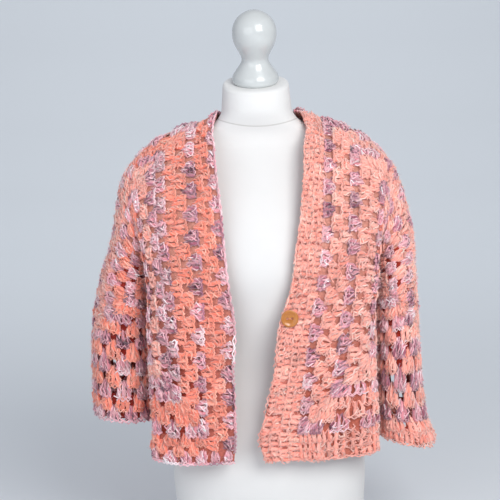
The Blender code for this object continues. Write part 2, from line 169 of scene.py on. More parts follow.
# The line down the side of the body, from the underarm to the hem, which front and back share.
SIDE_GUIDE = (
    (-1.0, 178, 172, 6, 211),
    (-0.5, 177, 172, 6, 338),
    (-0.12, 178, 172, 6, 442),
    (0.0, 184, 178, 6, 470),
)
print("front guides", len(FRONT_GUIDES))

# %% Guide lines of the back
# The same columns as the fronts'.
BACK_GUIDES = {
    -1.0: (
        (-1.0, 0.15, 0.15, 117, 205),
        (-0.5, 0.15, 0.15, 113, 343),
        (0.0, 0.15, 0.15, 107, 480),
        (0.25, 0.15, 0.15, 109, 545),
        (0.5, 0.15, 0.15, 108, 610),
        (0.75, 0.15, 0.15, 96, 666),
        (1.0, 0.15, 0.15, 61, 712),
    ),
    -0.85: (
        (-1.0, 34, 33, 117, 205),
        (-0.5, 34, 33, 113, 343),
        (0.0, 35, 34, 107, 479),
        (0.25, 37, 36, 110, 544),
        (0.5, 39, 38, 109, 608),
        (0.75, 43, 42, 89, 667),
        (1.0, 50, 45, 50, 714),
    ),
    BACK_NECK_U: (
        (-1.0, 68, 66, 116, 206),
        (-0.5, 68, 66, 112, 342),
        (0.0, 69, 68, 107, 478),
        (0.25, 72, 70, 109, 543),
        (0.5, 76, 74, 105, 608),
        (0.75, 82, 80, 74, 676),
        (1.0, 71, 68, -2, 719),
    ),
    -0.3: (
        (-1.0, 156, 150, 84, 208),
        (-0.5, 154, 150, 82, 340),
        (0.0, 162, 156, 86, 470),
        (0.25, 180, 172, 92, 530),
        (0.5, 196, 188, 94, 580),
        (0.75, 202, 196, 78, 628),
        (1.0, 182, 180, 17, 670),
    ),
    -0.12: (
        (-1.0, 176, 170, 46, 210),
        (-0.5, 174, 170, 46, 339),
        (0.0, 175, 169, 44, 454),
        (0.25, 184, 176, 62, 484),
        (0.5, 214, 206, 86, 530),
        (0.75, 236, 230, 68, 572),
        (1.0, 226, 222, 24, 603),
    ),
}
print("back guides", len(BACK_GUIDES))

# %% Rings round the sleeves, the shoulder seam and the fronts' edges
# Rings round each sleeve: u, x of the inner and outer side, y of the front and back, z of the inner and outer side.
SLEEVE_RINGS = {
    "right": (
        (0.0, 184, 250, -84, 88, 470, 512),
        (0.33, 190, 270, -80, 86, 419, 454),
        (0.66, 190, 287, -76, 82, 347, 372),
        (1.0, 190, 293, -72, 80, 250, 262),
        (CUFF_U, 194, 292, -70, 78, 212, 222),
    ),
    "left": (
        (0.0, 178, 248, -84, 88, 470, 512),
        (0.33, 184, 252, -80, 86, 410, 440),
        (0.66, 184, 256, -76, 82, 324, 338),
        (1.0, 184, 266, -76, 84, 208, 200),
        (CUFF_U, 184, 281, -80, 88, 172, 158),
    ),
}
RING_CENTRE_Y = 6.0
RING_SQUARENESS = 2.3  # 2 is an ellipse, more is squarer
SEAM_BEHIND = 24.0  # the sleeve's seam lies this far behind its outermost line

# The shoulder seam from the neck point to the sleeve: x right, x left, y, z.
SEAM_LINE = (
    (71, 68, -2, 719),
    (102, 103, -3, 705),
    (150, 148, 11, 688),
    (192, 188, 19, 663),
    (222, 218, 23, 619),
)
# The free edges of the two fronts' bands: z, x on the right half, x on the left half, y.
FRONT_EDGES = (
    (160, -58, -9, -139),
    (198, -54, -16, -141),
    (233, -54, -6, -142),
    (313, -54, 12, -143),
    (388, -51, 23, -143),
    (440, -57, 41, -142),
    (508, -63, 53, -139),
    (554, -65, 60, -131),
    (624, -72, 68, -106),
    (664, -75, 71, -76),
    (692, -78, 76, -42),
    (719, -71, 68, -2),
)
print("sleeve rings", len(SLEEVE_RINGS["right"]), "front edge rows", len(FRONT_EDGES))


# %% A smooth curve through known places
def spline(knots, values, t):
    """A smooth curve through values at knots, read at t."""
    knots = np.asarray(knots, float)
    values = np.asarray(values, float)
    steps = np.diff(knots)[:, None]
    slopes = np.diff(values, axis=0) / steps
    tangents = np.empty_like(values)
    tangents[0], tangents[-1] = slopes[0], slopes[-1]
    tangents[1:-1] = (slopes[:-1] * steps[1:] + slopes[1:] * steps[:-1]) / (steps[:-1] + steps[1:])
    i = int(np.clip(np.searchsorted(knots, t) - 1, 0, len(knots) - 2))
    h = float(steps[i, 0])
    s = (t - knots[i]) / h
    return (
        (2 * s**3 - 3 * s**2 + 1) * values[i]
        + (s**3 - 2 * s**2 + s) * h * tangents[i]
        + (3 * s**2 - 2 * s**3) * values[i + 1]
        + (s**3 - s**2) * h * tangents[i + 1]
    )


def ease(t, low, high):
    s = min(max((t - low) / (high - low), 0.0), 1.0)
    return s * s * (3 - 2 * s)


print("ease halfway", ease(0.5, 0.0, 1.0))


# %% One half of the cardigan
class Half:
    """The surface of one half of the cardigan; outward is -1 for the wearer's right and 1 for the left."""

    def __init__(self, name):
        self.outward = -1 if name == "right" else 1
        self.column = 1 if name == "right" else 2
        self.hem_rise = HEM_RISE[name]
        self.rings = [self.ring(row) for row in SLEEVE_RINGS[name]]
        self.ring_knots = [row[0] for row in SLEEVE_RINGS[name]]
        shoulder = [(self.outward * row[self.column - 1], row[2], row[3]) for row in SEAM_LINE]
        self.seam_points = np.array(shoulder + [self.ring_point(0, 1.0, False)])
        steps = np.linalg.norm(np.diff(self.seam_points, axis=0), axis=1)
        self.seam_lengths = np.concatenate([[0.0], np.cumsum(steps)])

    def ring(self, row):
        """Two lines round a sleeve from its underside to the seam: by the front, and by the back."""
        _, inner, outer, front, back, inner_z, outer_z = row
        centre, half_width = (inner + outer) / 2, (outer - inner) / 2
        power = 2 / RING_SQUARENESS
        a = np.linspace(0, 2 * math.pi, 361)
        c, s = np.cos(a), np.sin(a)
        depth = np.where(s > 0, front - RING_CENTRE_Y, RING_CENTRE_Y - back)
        x = centre - half_width * np.sign(c) * np.abs(c) ** power
        y = RING_CENTRE_Y + depth * np.sign(s) * np.abs(s) ** power
        z = inner_z + (outer_z - inner_z) * (x - inner) / (outer - inner)
        points = np.stack([self.outward * x, y, z], axis=1)
        seam = 180 + int(np.argmax(y[180:] > RING_CENTRE_Y + SEAM_BEHIND))
        made = []
        for line in (points[: seam + 1], points[seam:][::-1]):
            along = np.concatenate([[0.0], np.cumsum(np.linalg.norm(np.diff(line, axis=0), axis=1))])
            made.append((along / along[-1], line))
        return made

    def ring_point(self, k, v, back):
        along, line = self.rings[k][1 if back else 0]
        return np.array([np.interp(v, along, line[:, axis]) for axis in range(3)])

    def guide(self, rows, v):
        values = [(self.outward * row[self.column], row[3], row[4]) for row in rows]
        return spline([row[0] for row in rows], values, v)

    def seam(self, length):
        """The point that far along the shoulder seam from the neck point."""
        return spline(self.seam_lengths, self.seam_points, length)

    def seam_ends(self, back):
        """The seam's lengths at the neck, at the band's edge and at the sleeve, and u of the cloth there."""
        lengths = [0.0, float(self.seam_lengths[1]), float(self.seam_lengths[-1])]
        if back:
            return lengths, [BACK_NECK_U * (1 - length / lengths[2]) for length in lengths]
        return lengths, [BAND_U, -1.0, 0.0]

    def seam_length(self, u, back):
        """How far along the shoulder seam the front's or back's edge is at u, for u up to 0."""
        lengths, us = self.seam_ends(back)
        return float(np.interp(u, us, lengths))

    def seam_u(self, length, back):
        lengths, us = self.seam_ends(back)
        return float(np.interp(length, lengths, us))

    def apart(self, u, v):
        """How far the sleeve and the body's side are held off each other just below the underarm."""
        depth = u if u > 0 else max(-u, -v)
        near = ease(depth, 0.0, 0.09) * (1 - ease(depth, 0.15, 0.5)) * (1 - ease(v, 0.05, 0.35))
        return UNDERARM_OPEN * near * (1 if u > 0 else -1)

    def cloth(self, u, v, back):
        """The hexagon's own surface, for v from -1 to 1."""
        guides = BACK_GUIDES if back else FRONT_GUIDES
        knots = list(guides) + [0.0]
        body = [self.guide(rows, v) for rows in guides.values()]
        apart = np.array([self.outward * self.apart(u, v), 0.0, 0.0])
        if v <= 0 and u <= 0:
            return spline(knots, body + [self.guide(SIDE_GUIDE, v)], u) + apart
        rings = [self.ring_point(k, v, back) for k in range(len(self.rings))]
        whole = spline(knots[:-1] + self.ring_knots, body + rings, u)
        if u >= 0:
            share, piece = ease(v, 0.0, 0.25) * (1 - ease(v, 0.8, 1.0)), spline(self.ring_knots, rings, u)
        else:
            share, piece = ease(v, 0.0, 0.25), spline(knots, body + rings[:1], u)
        return share * whole + (1 - share) * piece + apart

    def sewn(self, u, v, back):
        """The hexagon's surface with its upper edge brought to the shoulder seam."""
        p = self.cloth(u, v, back)
        if u >= 0 or v <= SEAM_PULL_V:
            return p
        if back and u < BACK_NECK_U:
            return p
        pull = self.seam(self.seam_length(u, back)) - self.cloth(u, 1.0, back)
        return p + ease(v, SEAM_PULL_V, 1.0) * pull

    def band_edge(self, v):
        """The free edge of the front band beside v."""
        z = self.body(-1.0, v, False)[2] + NECK_RISE * ease(v, 0.5, 1.0)
        values = [(row[self.column], row[3], row[0]) for row in FRONT_EDGES]
        return spline([row[0] for row in FRONT_EDGES], values, z)

    def body(self, u, v, back):
        """The hexagon with its hem rows, for v from HEM_V."""
        if v >= -1:
            return self.sewn(u, v, back)
        top = self.sewn(u, -1.0, back)
        size, start, end = self.hem_rise
        flare = self.outward * HEM_FLARE if u > -0.9 else 0.0
        bottom = np.array([top[0] + flare, top[1], HEM_Z + size * ease(u, start, end)])
        return top + (-1 - v) / (-1 - HEM_V) * (bottom - top)

    def point(self, u, v, back=False):
        """The middle of the fabric. Past an edge that another piece is sewn to, it is that piece's."""
        if v > 1:
            other = u if u >= 0 else self.seam_u(self.seam_length(u, back), not back)
            return self.point(other, 2 - v, not back)
        if u > 0 and v < 0:
            return self.point(u, -v, not back) if u >= -v else self.point(-u, v, not back)
        if u < -1 and back:
            p = self.point(-2 - u, v, True)
            return np.array([-p[0], p[1], p[2]])
        if u < -1:
            inner, edge = self.body(-1.0, v, False), self.band_edge(v)
            return inner + (-1 - u) / (-1 - BAND_U) * (edge - inner)
        return self.body(u, v, back)


print("underarm of the right half, mm", Half("right").point(0.0, 0.0).round(1))

# %% [markdown]
# ## Reading the surface quickly
# Tens of thousands of strand points have to be laid on this surface. Working each one out from the guide lines
# would take minutes, so each side of a half is worked out once on a grid of half rounds, and a smooth cubic
# reading between the grid's points serves all the strands at once.

# %% A side of one half as a grid
STEP = 1 / 28  # half a round


def cubic_weights(t):
    return np.stack([
        -0.5 * t**3 + t**2 - 0.5 * t,
        1.5 * t**3 - 2.5 * t**2 + 1,
        -1.5 * t**3 + 2 * t**2 + 0.5 * t,
        0.5 * t**3 - 0.5 * t**2,
    ], -1)


def unevenness(u, v, outward):
    """Soft troughs and ridges of worn crochet, in millimetres."""
    lean = 0.21 * outward
    broad = np.sin(2 * np.pi * (1.9 * v + 0.6 * u + lean)) * np.sin(2 * np.pi * (1.3 * u - 0.5 * v + 0.37))
    narrow = np.sin(2 * np.pi * (4.3 * u + 1.1 * v + 3 * lean)) * np.sin(2 * np.pi * (2.7 * v - 0.8 * u + 0.1))
    return 1.3 * broad + 0.7 * narrow


class Chart:
    """One side of a half as a grid of points and outward directions, read smoothly in between."""

    def __init__(self, half, back):
        self.us = np.arange(-30 if back else -37, 35) * STEP
        self.vs = np.arange(-36, 32) * STEP
        self.outward = half.outward
        self.points = np.array([[self.place(half, u, v, back) for v in self.vs] for u in self.us], float)
        along_u = np.gradient(self.points, STEP, axis=0)
        along_v = np.gradient(self.points, STEP, axis=1)
        normals = np.cross(along_u, along_v) * half.outward * (-1 if back else 1)
        self.normals = normals / np.linalg.norm(normals, axis=-1, keepdims=True)

    def place(self, half, u, v, back):
        """The guide lines' point there, carried on straight past the borders."""
        top = 1.0 if u < 0 else 1.0 + STEP
        near_u = min(max(u, -1.0 if back else BAND_U), CUFF_U)
        near_v = min(max(v, HEM_V), top)
        here = half.point(near_u, near_v, back)
        place = here.copy()
        if u != near_u:
            step = np.sign(u) * STEP
            place += (u - near_u) * (here - half.point(near_u - step, near_v, back)) / step
        if v != near_v:
            step = np.sign(v) * STEP
            place += (v - near_v) * (here - half.point(near_u, near_v - step, back)) / step
        return place

    def read(self, u, v, height=0.0):
        """Points that high above the middle of the fabric, and the outward directions there."""
        u, v = np.broadcast_arrays(u, v)
        i, j = (u - self.us[0]) / STEP, (v - self.vs[0]) / STEP
        i0 = np.clip(np.floor(i).astype(int), 1, len(self.us) - 3)
        j0 = np.clip(np.floor(j).astype(int), 1, len(self.vs) - 3)
        wu, wv = cubic_weights(i - i0), cubic_weights(j - j0)
        place = np.zeros(u.shape + (3,))
        facing = np.zeros(u.shape + (3,))
        for a in range(4):
            for b in range(4):
                weight = (wu[..., a] * wv[..., b])[..., None]
                place += weight * self.points[i0 + a - 1, j0 + b - 1]
                facing += weight * self.normals[i0 + a - 1, j0 + b - 1]
        facing /= np.linalg.norm(facing, axis=-1, keepdims=True)
        lift = np.broadcast_to(height, u.shape) + unevenness(u, v, self.outward)
        return place + lift[..., None] * facing, facing


charts = {}
for name in ("right", "left"):
    for back in (False, True):
        charts[name, back] = Chart(Half(name), back)
print("charts", {key: chart.points.shape[:2] for key, chart in charts.items()})

# %% [markdown]
# ## Colours of the rounds
# Coral wool alternates with a space-dyed lavender one that has pale pink, mauve and nearly black stretches. The
# rounds are written down one by one, from the outermost in, for each sector of the hexagon, because the sleeves were
# worked in single stripes and the body in pairs.

# %% Yarn colours
def linear(hex_colour):
    """An sRGB hex colour as linear red, green and blue."""
    parts = [int(hex_colour[k : k + 2], 16) / 255 for k in (1, 3, 5)]
    return np.array([c / 12.92 if c <= 0.04045 else ((c + 0.055) / 1.055) ** 2.4 for c in parts])


CORAL = linear("#FA9782")
PEACH = linear("#FCB2A4")
SOFT_CORAL = linear("#FCAE9F")
LAVENDER = linear("#E6A8B2")
PALE_PINK = linear("#F8D6DA")
MAUVE = linear("#AC7084")
INK = linear("#533243")
# Colours from the outermost round in: c coral, l lavender, p peach.
BODY_ROUNDS = {"right": "lccllplcplclcl", "left": "lcclpplclplclc"}
TOP_ROUNDS = {"right": "lcclpplclclclc", "left": "lcclpplclclclc"}
CUFF_ROUNDS = {"right": "lclclclclclclc", "left": "lclclclclclclc"}
print("coral is", CORAL.round(3), "lavender is", LAVENDER.round(3))


def yarn_colours(codes, phase, half_name):
    """A colour for each strand point. phase runs along the yarn and moves the space-dyed yarn's colour on."""
    colours = np.empty(phase.shape + (3,))
    colours[:] = SOFT_CORAL if half_name == "left" else CORAL
    colours[codes == "p"] = PEACH
    tone = np.sin(phase) + 0.6 * np.sin(2.7 * phase + 1.3) + 0.4 * np.sin(6.1 * phase)
    light = np.clip(0.5 + 0.55 * tone, 0, 1)[..., None]
    mixed = MAUVE + (PALE_PINK - MAUVE) * light
    mixed = np.where((np.abs(tone) < 0.7)[..., None], LAVENDER, mixed)
    mixed = np.where((tone < -1.55)[..., None], INK, mixed)
    dyed = codes == "l"
    colours[dyed] = mixed[dyed]
    return colours


# %% [markdown]
# ## One granny cluster
# A cluster is three trebles worked into one gap of the round below, so they fan out from it, and their tops make
# a chain along the round. Each treble is three lengths of yarn that wrap each other a little. A bump map would look
# flat at the outline, and a modelled loop of real crochet costs too many faces. So the cluster is a list of strand
# paths on a cell one pitch wide (a) and one round deep (b), with a height in millimetres. Laid on the surface, each
# path is later swept into a tube. A thick soft core fills each treble between its strands.

# %% Paths of a cluster's strands
PLY_RADIUS = 1.2  # mm
CORE_RADIUS = 2.8
PLY_OFFSET = 2.8  # from the core's middle to a ply's
PLIES = 3


def treble_paths(base_spread, top_spread, start, end, turns=0.9, fatness=1.0):
    """Cores and strands of three trebles: rows of a, side offset in mm, b, height and radius."""
    t = np.linspace(0, 1, 5)
    lift = np.interp(t, (0, 0.2, 0.55, 0.85, 1), (-3.4, -1.6, 0.9, 0.6, -1.6))
    bulge = fatness * np.interp(t, (0, 0.3, 0.75, 1), (0.5, 1.0, 1.35, 0.8))
    a = np.interp(t, (0, 0.6, 1), (base_spread, top_spread, top_spread * 0.85))
    b = start + (end - start) * t
    cores, plies = [], []
    for k in (-1, 0, 1):
        middle = lift - 0.6 * abs(k)
        cores.append((k * a, 0 * t, b, middle - 0.6, CORE_RADIUS * bulge))
        for ply in range(PLIES):
            turn = 2 * math.pi * (ply / PLIES + turns * t + 0.29 * k)
            side = PLY_OFFSET * bulge * np.cos(turn)
            height = middle + PLY_OFFSET * 0.75 * bulge * np.sin(turn)
            plies.append((k * a, side, b, height, PLY_RADIUS * (0.8 + 0.3 * bulge)))
    return np.array(cores), np.array(plies)


def chain_paths(reach, lift):
    """The chain along the tops: two strands that cross over each treble."""
    t = np.linspace(-reach, reach, 6)
    zigzag = np.array([1, -1, 1, -1, 1, -1])
    paths = []
    for way in (-1, 1):
        b = 0.97 + way * 0.13 * zigzag
        height = lift + 0.7 * way * zigzag - 3.5 * (t / reach) ** 2
        paths.append((t, np.zeros(6), b, height, np.full(6, PLY_RADIUS * 1.15)))
    return np.array(paths)


def loop_paths(a, b, lean):
    """A short bent strand that crosses a cluster, as the front loop of a stitch does."""
    t = np.linspace(-1, 1, 4)
    along, up = 0.13 * t, 0.22 * (1 - t**2) - 0.1
    turned = along * math.cos(lean) - up * math.sin(lean), along * math.sin(lean) + up * math.cos(lean)
    height = 3.4 - 1.6 * t**2
    return a + turned[0], np.zeros(4), b + 1.8 * turned[1], height, np.full(4, PLY_RADIUS * 0.95)


FAN = treble_paths(0.11, 0.26, -0.36, 1.0)
CORNER = treble_paths(0.15, 0.29, -0.1, 1.0)
DENSE = treble_paths(0.32, 0.33, -0.25, 1.05, 1.5, 1.15)
FAN_EDGE = treble_paths(0.11, 0.26, -0.36, 0.88)
DENSE_EDGE = treble_paths(0.32, 0.33, -0.25, 0.88, 1.5, 1.15)
FAN_CHAIN = chain_paths(0.34, 2.6)
DENSE_CHAIN = chain_paths(0.5, 2.0)
EDGE_CHAIN = chain_paths(0.54, 1.6)
print("strands in a fan", len(FAN[0]) + len(FAN[1]) + len(FAN_CHAIN))


# %% Clusters laid on a chart
# Painted shade: the cores are coloured darker and redder than their strands.
CORE_SHADE = {"l": (0.78, 0.58, 0.60), "other": (0.96, 0.78, 0.74)}  # the cores lie in the strands' shade


class Stitches:
    """The strands of one piece of fabric: groups of places, radii, colours, outward directions and sides."""

    def __init__(self, half_name):
        self.half_name = half_name
        self.strands = []

    def add(self, chart, base, top, pitch, codes, paths, sides=3, jitter=1.0, tint=1.0):
        """Clusters with the given middles of base and top and pitch vectors, all (u, v)."""
        count, strands, knots = len(base), len(paths), paths.shape[-1]
        steady = 1 + 0.07 * rng.standard_normal((count, 1, 1))
        a = paths[None, :, 0] * steady + 0.02 * jitter * rng.standard_normal((count, strands, knots))
        b = paths[None, :, 2] + 0.04 * jitter * rng.standard_normal((count, strands, 1))
        a = a + 0.05 * jitter * (b - 0.5) * rng.standard_normal((count, strands, 1))
        height = paths[None, :, 3] + 0.35 * jitter * rng.standard_normal((count, strands, knots))
        ends = [chart.read(*(base * 0.5 + top * 0.5 + w * pitch).T)[0] for w in (-0.5, 0.5)]
        width = np.linalg.norm(ends[1] - ends[0], axis=-1)[:, None, None]
        a = a + paths[None, :, 1] * np.clip(width / 34, 0.5, 1.1) / width
        u = base[:, 0, None, None] + (top - base)[:, 0, None, None] * b + a * pitch[:, 0, None, None]
        v = base[:, 1, None, None] + (top - base)[:, 1, None, None] * b + a * pitch[:, 1, None, None]
        places, facing = chart.read(u, v, height)
        radius = np.broadcast_to(paths[None, :, 4], a.shape) * np.clip(width / 28, 0.7, 1.0)
        phase = self.phase[:count, None, None] + rng.normal(0, 0.8, (count, strands, 1)) + 0.8 * b
        spread_codes = np.broadcast_to(np.asarray(codes)[:, None, None], phase.shape)
        colours = yarn_colours(spread_codes, phase, self.half_name)
        tints = np.broadcast_to(tint, (count, 3))[:, None, None, :]
        shade = tints * (self.shade[:count, None, None, None] + 0.12 * rng.standard_normal((count, strands, 1, 1)))
        pale = 0.5 * np.clip(rng.standard_normal((count, strands, 1, 1)), 0, 1)
        colours = colours + (np.sqrt(colours) - colours) * pale
        self.strands.append((places.reshape(-1, knots, 3), radius.reshape(-1, knots),
                             (colours * shade).reshape(-1, knots, 3), facing.reshape(-1, knots, 3), sides))

    def fans(self, chart, base, top, pitch, codes, trebles, chain, jitter=1.0):
        """Whole clusters: cores, plies, the chain on top and two loops across each."""
        self.phase = rng.uniform(0, 50, len(base))
        self.shade = 1 + 0.06 * rng.standard_normal(len(base))
        cores, plies = trebles
        core_shade = np.where((np.asarray(codes) == "l")[:, None], CORE_SHADE["l"], CORE_SHADE["other"])
        self.add(chart, base, top, pitch, codes, cores, 4, 0.5, core_shade)
        self.add(chart, base, top, pitch, codes, plies, 3, 1.6 * jitter)
        self.add(chart, base, top, pitch, codes, chain, 3, jitter)
        bent = [loop_paths(rng.uniform(-0.24, 0.24), rng.uniform(0.25, 0.85), rng.uniform(-1.2, 1.2))
                for _ in range(2)]
        self.add(chart, base, top, pitch, codes, np.array(bent), 3, 2.5, 1.15)

    def count(self):
        return sum(len(group[0]) for group in self.strands)


def round_cells(n, low, high, slide=0.0):
    """Places along round n of one sector, as w from -n / 14 to n / 14: base, top and pitch, in rounds / 14."""
    sides = [(w, w, 2.0) for w in np.arange(-(n - 2.0), n - 1, 2) + slide] if n > 1 else []
    corners = [(way * (n - 1), way * (n - 0.65), 1.5) for way in (-1, 1)]
    return [[tuple(x / 14 for x in cell) for cell in cells if low <= cell[1] / 14 <= high]
            for cells in (sides, corners)]


# %% [markdown]
# ## Rounds on each piece
# The hexagon has six sectors. On the front piece lie the sector along its front edge and half of the two that run
# over the hem and over the shoulder. The sleeve holds the other half of the shoulder sector and the whole sector
# at the cuff. A round's cells are half a pitch from those of the next one, as in the real stitch.

# %% Sectors of the hexagon
SLIDE = 0.4  # how far the fronts' rounds are pulled up by their weight on the shoulders, in rounds
pieces = {}


def stitches(node, half_name):
    """The strands gathered so far for one piece of fabric."""
    if node not in pieces:
        pieces[node] = Stitches(half_name)
    return pieces[node]


def lay_round(node, half_name, back, axis, way, n, code, low, high):
    """Round n where the coordinate on that axis is way * n / 14, between low and high along it."""
    inner, outer = (n - 1) / 14, n / 14
    slide = SLIDE if axis == 0 and way < 0 and not back else 0.0
    for cells, trebles in zip(round_cells(n, low, high, slide), (FAN, CORNER)):
        if cells:
            base, top, pitch = np.zeros((3, len(cells), 2))
            base[:, axis], top[:, axis] = way * inner, way * outer
            base[:, 1 - axis], top[:, 1 - axis], pitch[:, 1 - axis] = np.transpose(cells)
            chart = charts[half_name, back]
            stitches(node, half_name).fans(chart, base, top, pitch, [code] * len(cells), trebles, FAN_CHAIN)


for half_name in ("right", "left"):
    for back in (False, True):
        body = half_name + ("_back" if back else "_front")
        sleeve = half_name + "_sleeve"
        for n in range(1, 15):
            body_code, top_code, cuff_code = (
                rounds[half_name][14 - n] for rounds in (BODY_ROUNDS, TOP_ROUNDS, CUFF_ROUNDS)
            )
            lay_round(body, half_name, back, 0, -1, n, body_code, -2, 2)
            lay_round(body, half_name, back, 1, -1, n, body_code, -2, -0.001)
            lay_round(body, half_name, back, 1, 1, n, top_code, -2, -0.001)
            lay_round(sleeve, half_name, back, 1, 1, n, top_code, 0, 2)
            lay_round(sleeve, half_name, back, 0, 1, n, cuff_code, 0, 2)
print("strands", {name: piece.count() for name, piece in pieces.items()})

# %% [markdown]
# ## Borders
# The wearer's right front ends in three granny rows, two coral and one lavender, and its hem has the same. The left
# front has a dense coral band of plain trebles, and a dense hem. The cuffs go on for two rows past the hexagon. The
# borders lie on the same charts as the hexagon, so they need no joins of their own.

# %% Rows of the bands, hems and cuffs
def lay_rows(node, half_name, back, axis, start, end, codes, low, high, cells, dense=False):
    """Rows from start to end across an axis, each with that many clusters from low to high along the other."""
    wide = (high - low) / cells
    for k, code in enumerate(codes):
        inner, outer = (start + (end - start) * (k + step) / len(codes) for step in (0, 1))
        shift = 0.5 if k % 2 == 0 or dense else 1.0
        along = low + wide * (np.arange(cells if shift == 0.5 else cells - 1) + shift)
        if dense:
            along = along + wide * rng.uniform(-0.13, 0.13, len(along))
        base, top, pitch = np.zeros((3, len(along), 2))
        base[:, axis], top[:, axis] = inner, outer
        base[:, 1 - axis] = top[:, 1 - axis] = along
        pitch[:, 1 - axis] = wide
        last = k == len(codes) - 1
        trebles = (DENSE_EDGE if last else DENSE) if dense else (FAN_EDGE if last else FAN)
        chain = EDGE_CHAIN if last else DENSE_CHAIN if dense else FAN_CHAIN
        stitches(node, half_name).fans(
            charts[half_name, back], base, top, pitch, [code] * len(along), trebles, chain, 2.2 if dense else 1.0
        )


lay_rows("right_band", "right", False, 0, -1.0, BAND_U, "ccl", HEM_V + 0.06, 1.0, 15)
lay_rows("right_band", "right", False, 1, HEM_V + 0.06, HEM_V, "l", BAND_U, -1.0, 2)
lay_rows("left_band", "left", False, 0, -1.0, BAND_U, "cccc", HEM_V, 1.0, 22, dense=True)
for back in (False, True):
    side = "back" if back else "front"
    lay_rows("right_%s_hem" % side, "right", back, 1, -1.0, HEM_V, "ccl", -1.0, 0.0, 8)
    lay_rows("left_%s_hem" % side, "left", back, 1, -1.0, HEM_V, "ccc", -1.0, 0.0, 9, dense=True)
    lay_rows("right_cuff", "right", back, 0, 1.0, CUFF_U, "cl", 0.0, 1.0, 8)
    lay_rows("left_cuff", "left", back, 0, 1.0, CUFF_U, "cc", 0.0, 1.0, 9, dense=True)
print("pieces of fabric", len(pieces), "strands", sum(piece.count() for piece in pieces.values()))

# %% [markdown]
# ## Wool
# The yarn is a soft, hairy wool blend, spun loosely, so it has almost no gloss and a pale sheen at the edges. The
# colour comes from each strand's own attribute, because the rounds' colours don't follow any direction in space.
# Fibres are far finer than a pixel, so the fine streaks are drawn at half a millimetre.

# %% One helper for shader nodes
def node_with(tree, kind, settings=None, links=None):
    """Adds a node, sets its properties and input values, and links sockets to its inputs."""
    made = tree.nodes.new(kind)
    for name, value in (settings or {}).items():
        if isinstance(name, str) and hasattr(made, name):
            setattr(made, name, value)
        else:
            made.inputs[name].default_value = value
    for name, socket in (links or {}).items():
        tree.links.new(socket, made.inputs[name])
    return made


def new_material(name, roughness, **values):
    """A material with values on its shader's own sockets."""
    made = bpy.data.materials.new(name)
    made.use_nodes = True
    shader = made.node_tree.nodes["Principled BSDF"]
    shader.inputs["Roughness"].default_value = roughness
    for key, value in values.items():
        shader.inputs[key.replace("_", " ")].default_value = value
    return made, made.node_tree, shader


def rgba(colour):
    return (*[float(c) for c in colour], 1.0)


# %% Hairy wool
STREAK, FIBRE = 0.9, 0.5  # mm
wool, tree, shader = new_material(
    "hairy_wool", 0.95, Sheen_Weight=0.6, Sheen_Roughness=0.5, Specular_IOR_Level=0.15
)
place = node_with(tree, "ShaderNodeTexCoord").outputs["Object"]
dyed = node_with(tree, "ShaderNodeAttribute", {"attribute_name": "yarn"}).outputs["Color"]
streaks = node_with(tree, "ShaderNodeTexNoise", {"Scale": 1 / (STREAK * MM), "Detail": 3.0, "Roughness": 0.7},
                    {"Vector": place})
tone = node_with(tree, "ShaderNodeMapRange", {"From Min": 0.25, "From Max": 0.75, "To Min": 0.85, "To Max": 1.3},
                 {"Value": streaks.outputs["Fac"]})
shaded = node_with(tree, "ShaderNodeVectorMath", {"operation": "SCALE"}, {"Vector": dyed, "Scale": tone.outputs[0]})
tree.links.new(shaded.outputs[0], shader.inputs["Base Color"])
fibres = node_with(tree, "ShaderNodeTexNoise", {"Scale": 1 / (FIBRE * MM), "Detail": 2.0}, {"Vector": place})
bump = node_with(tree, "ShaderNodeBump", {"Strength": 0.5, "Distance": 0.4 * MM}, {"Height": fibres.outputs["Fac"]})
tree.links.new(bump.outputs[0], shader.inputs["Normal"])
print("material", wool.name)

# %% [markdown]
# ## Strands and fuzz
# All strands of a piece go into one mesh of bare edges, which a node group sweeps into tubes. Three or four sides
# are enough for yarn this thin, and keep a piece of some thousand strands light. The halo of loose fibres that blurs
# the cardigan's outline is made of very thin slivers of one triangle that stand off the strands.

# %% From paths to a mesh
FUZZ_PER_STRAND = 4
FUZZ_LENGTH = (3.0, 8.0)  # mm
FUZZ_HALF_WIDTH = 0.16


def sweep_group(sides):
    """Sweeps every path of edges into a closed tube with that many sides."""
    tree = bpy.data.node_groups.new("sweep_yarn", "GeometryNodeTree")
    tree.interface.new_socket("Geometry", in_out="INPUT", socket_type="NodeSocketGeometry")
    tree.interface.new_socket("Geometry", in_out="OUTPUT", socket_type="NodeSocketGeometry")
    paths = node_with(tree, "NodeGroupInput")
    curves = node_with(tree, "GeometryNodeMeshToCurve", None, {"Mesh": paths.outputs[0]})
    size = node_with(tree, "GeometryNodeInputNamedAttribute", {"data_type": "FLOAT", "Name": "thickness"})
    section = node_with(tree, "GeometryNodeCurvePrimitiveCircle", {"Resolution": sides, "Radius": MM})
    links = {"Curve": curves.outputs[0], "Profile Curve": section.outputs["Curve"], "Scale": size.outputs[0]}
    tubes = node_with(tree, "GeometryNodeCurveToMesh", {"Fill Caps": True}, links)
    node_with(tree, "NodeGroupOutput", None, {"Geometry": tubes.outputs[0]})
    return tree


SWEEPS = {sides: sweep_group(sides) for sides in (3, 4)}


def finished_mesh(obj):
    """The object's mesh with its modifiers applied. The object goes."""
    graph = bpy.context.evaluated_depsgraph_get()
    mesh = bpy.data.meshes.new_from_object(obj.evaluated_get(graph))
    bpy.data.objects.remove(obj, do_unlink=True)
    return mesh


def swept(mesh, sides):
    """The mesh's paths of edges as tubes."""
    obj = add_object("paths", mesh)
    obj.modifiers.new("sweep", "NODES").node_group = SWEEPS[sides]
    tubes = finished_mesh(obj)
    bpy.data.meshes.remove(mesh)
    return tubes


def colour_attribute(mesh, colours):
    tint = mesh.color_attributes.new("yarn", "FLOAT_COLOR", "POINT")
    tint.data.foreach_set("color", np.column_stack([np.clip(colours, 0, 1), np.ones(len(colours))]).ravel())


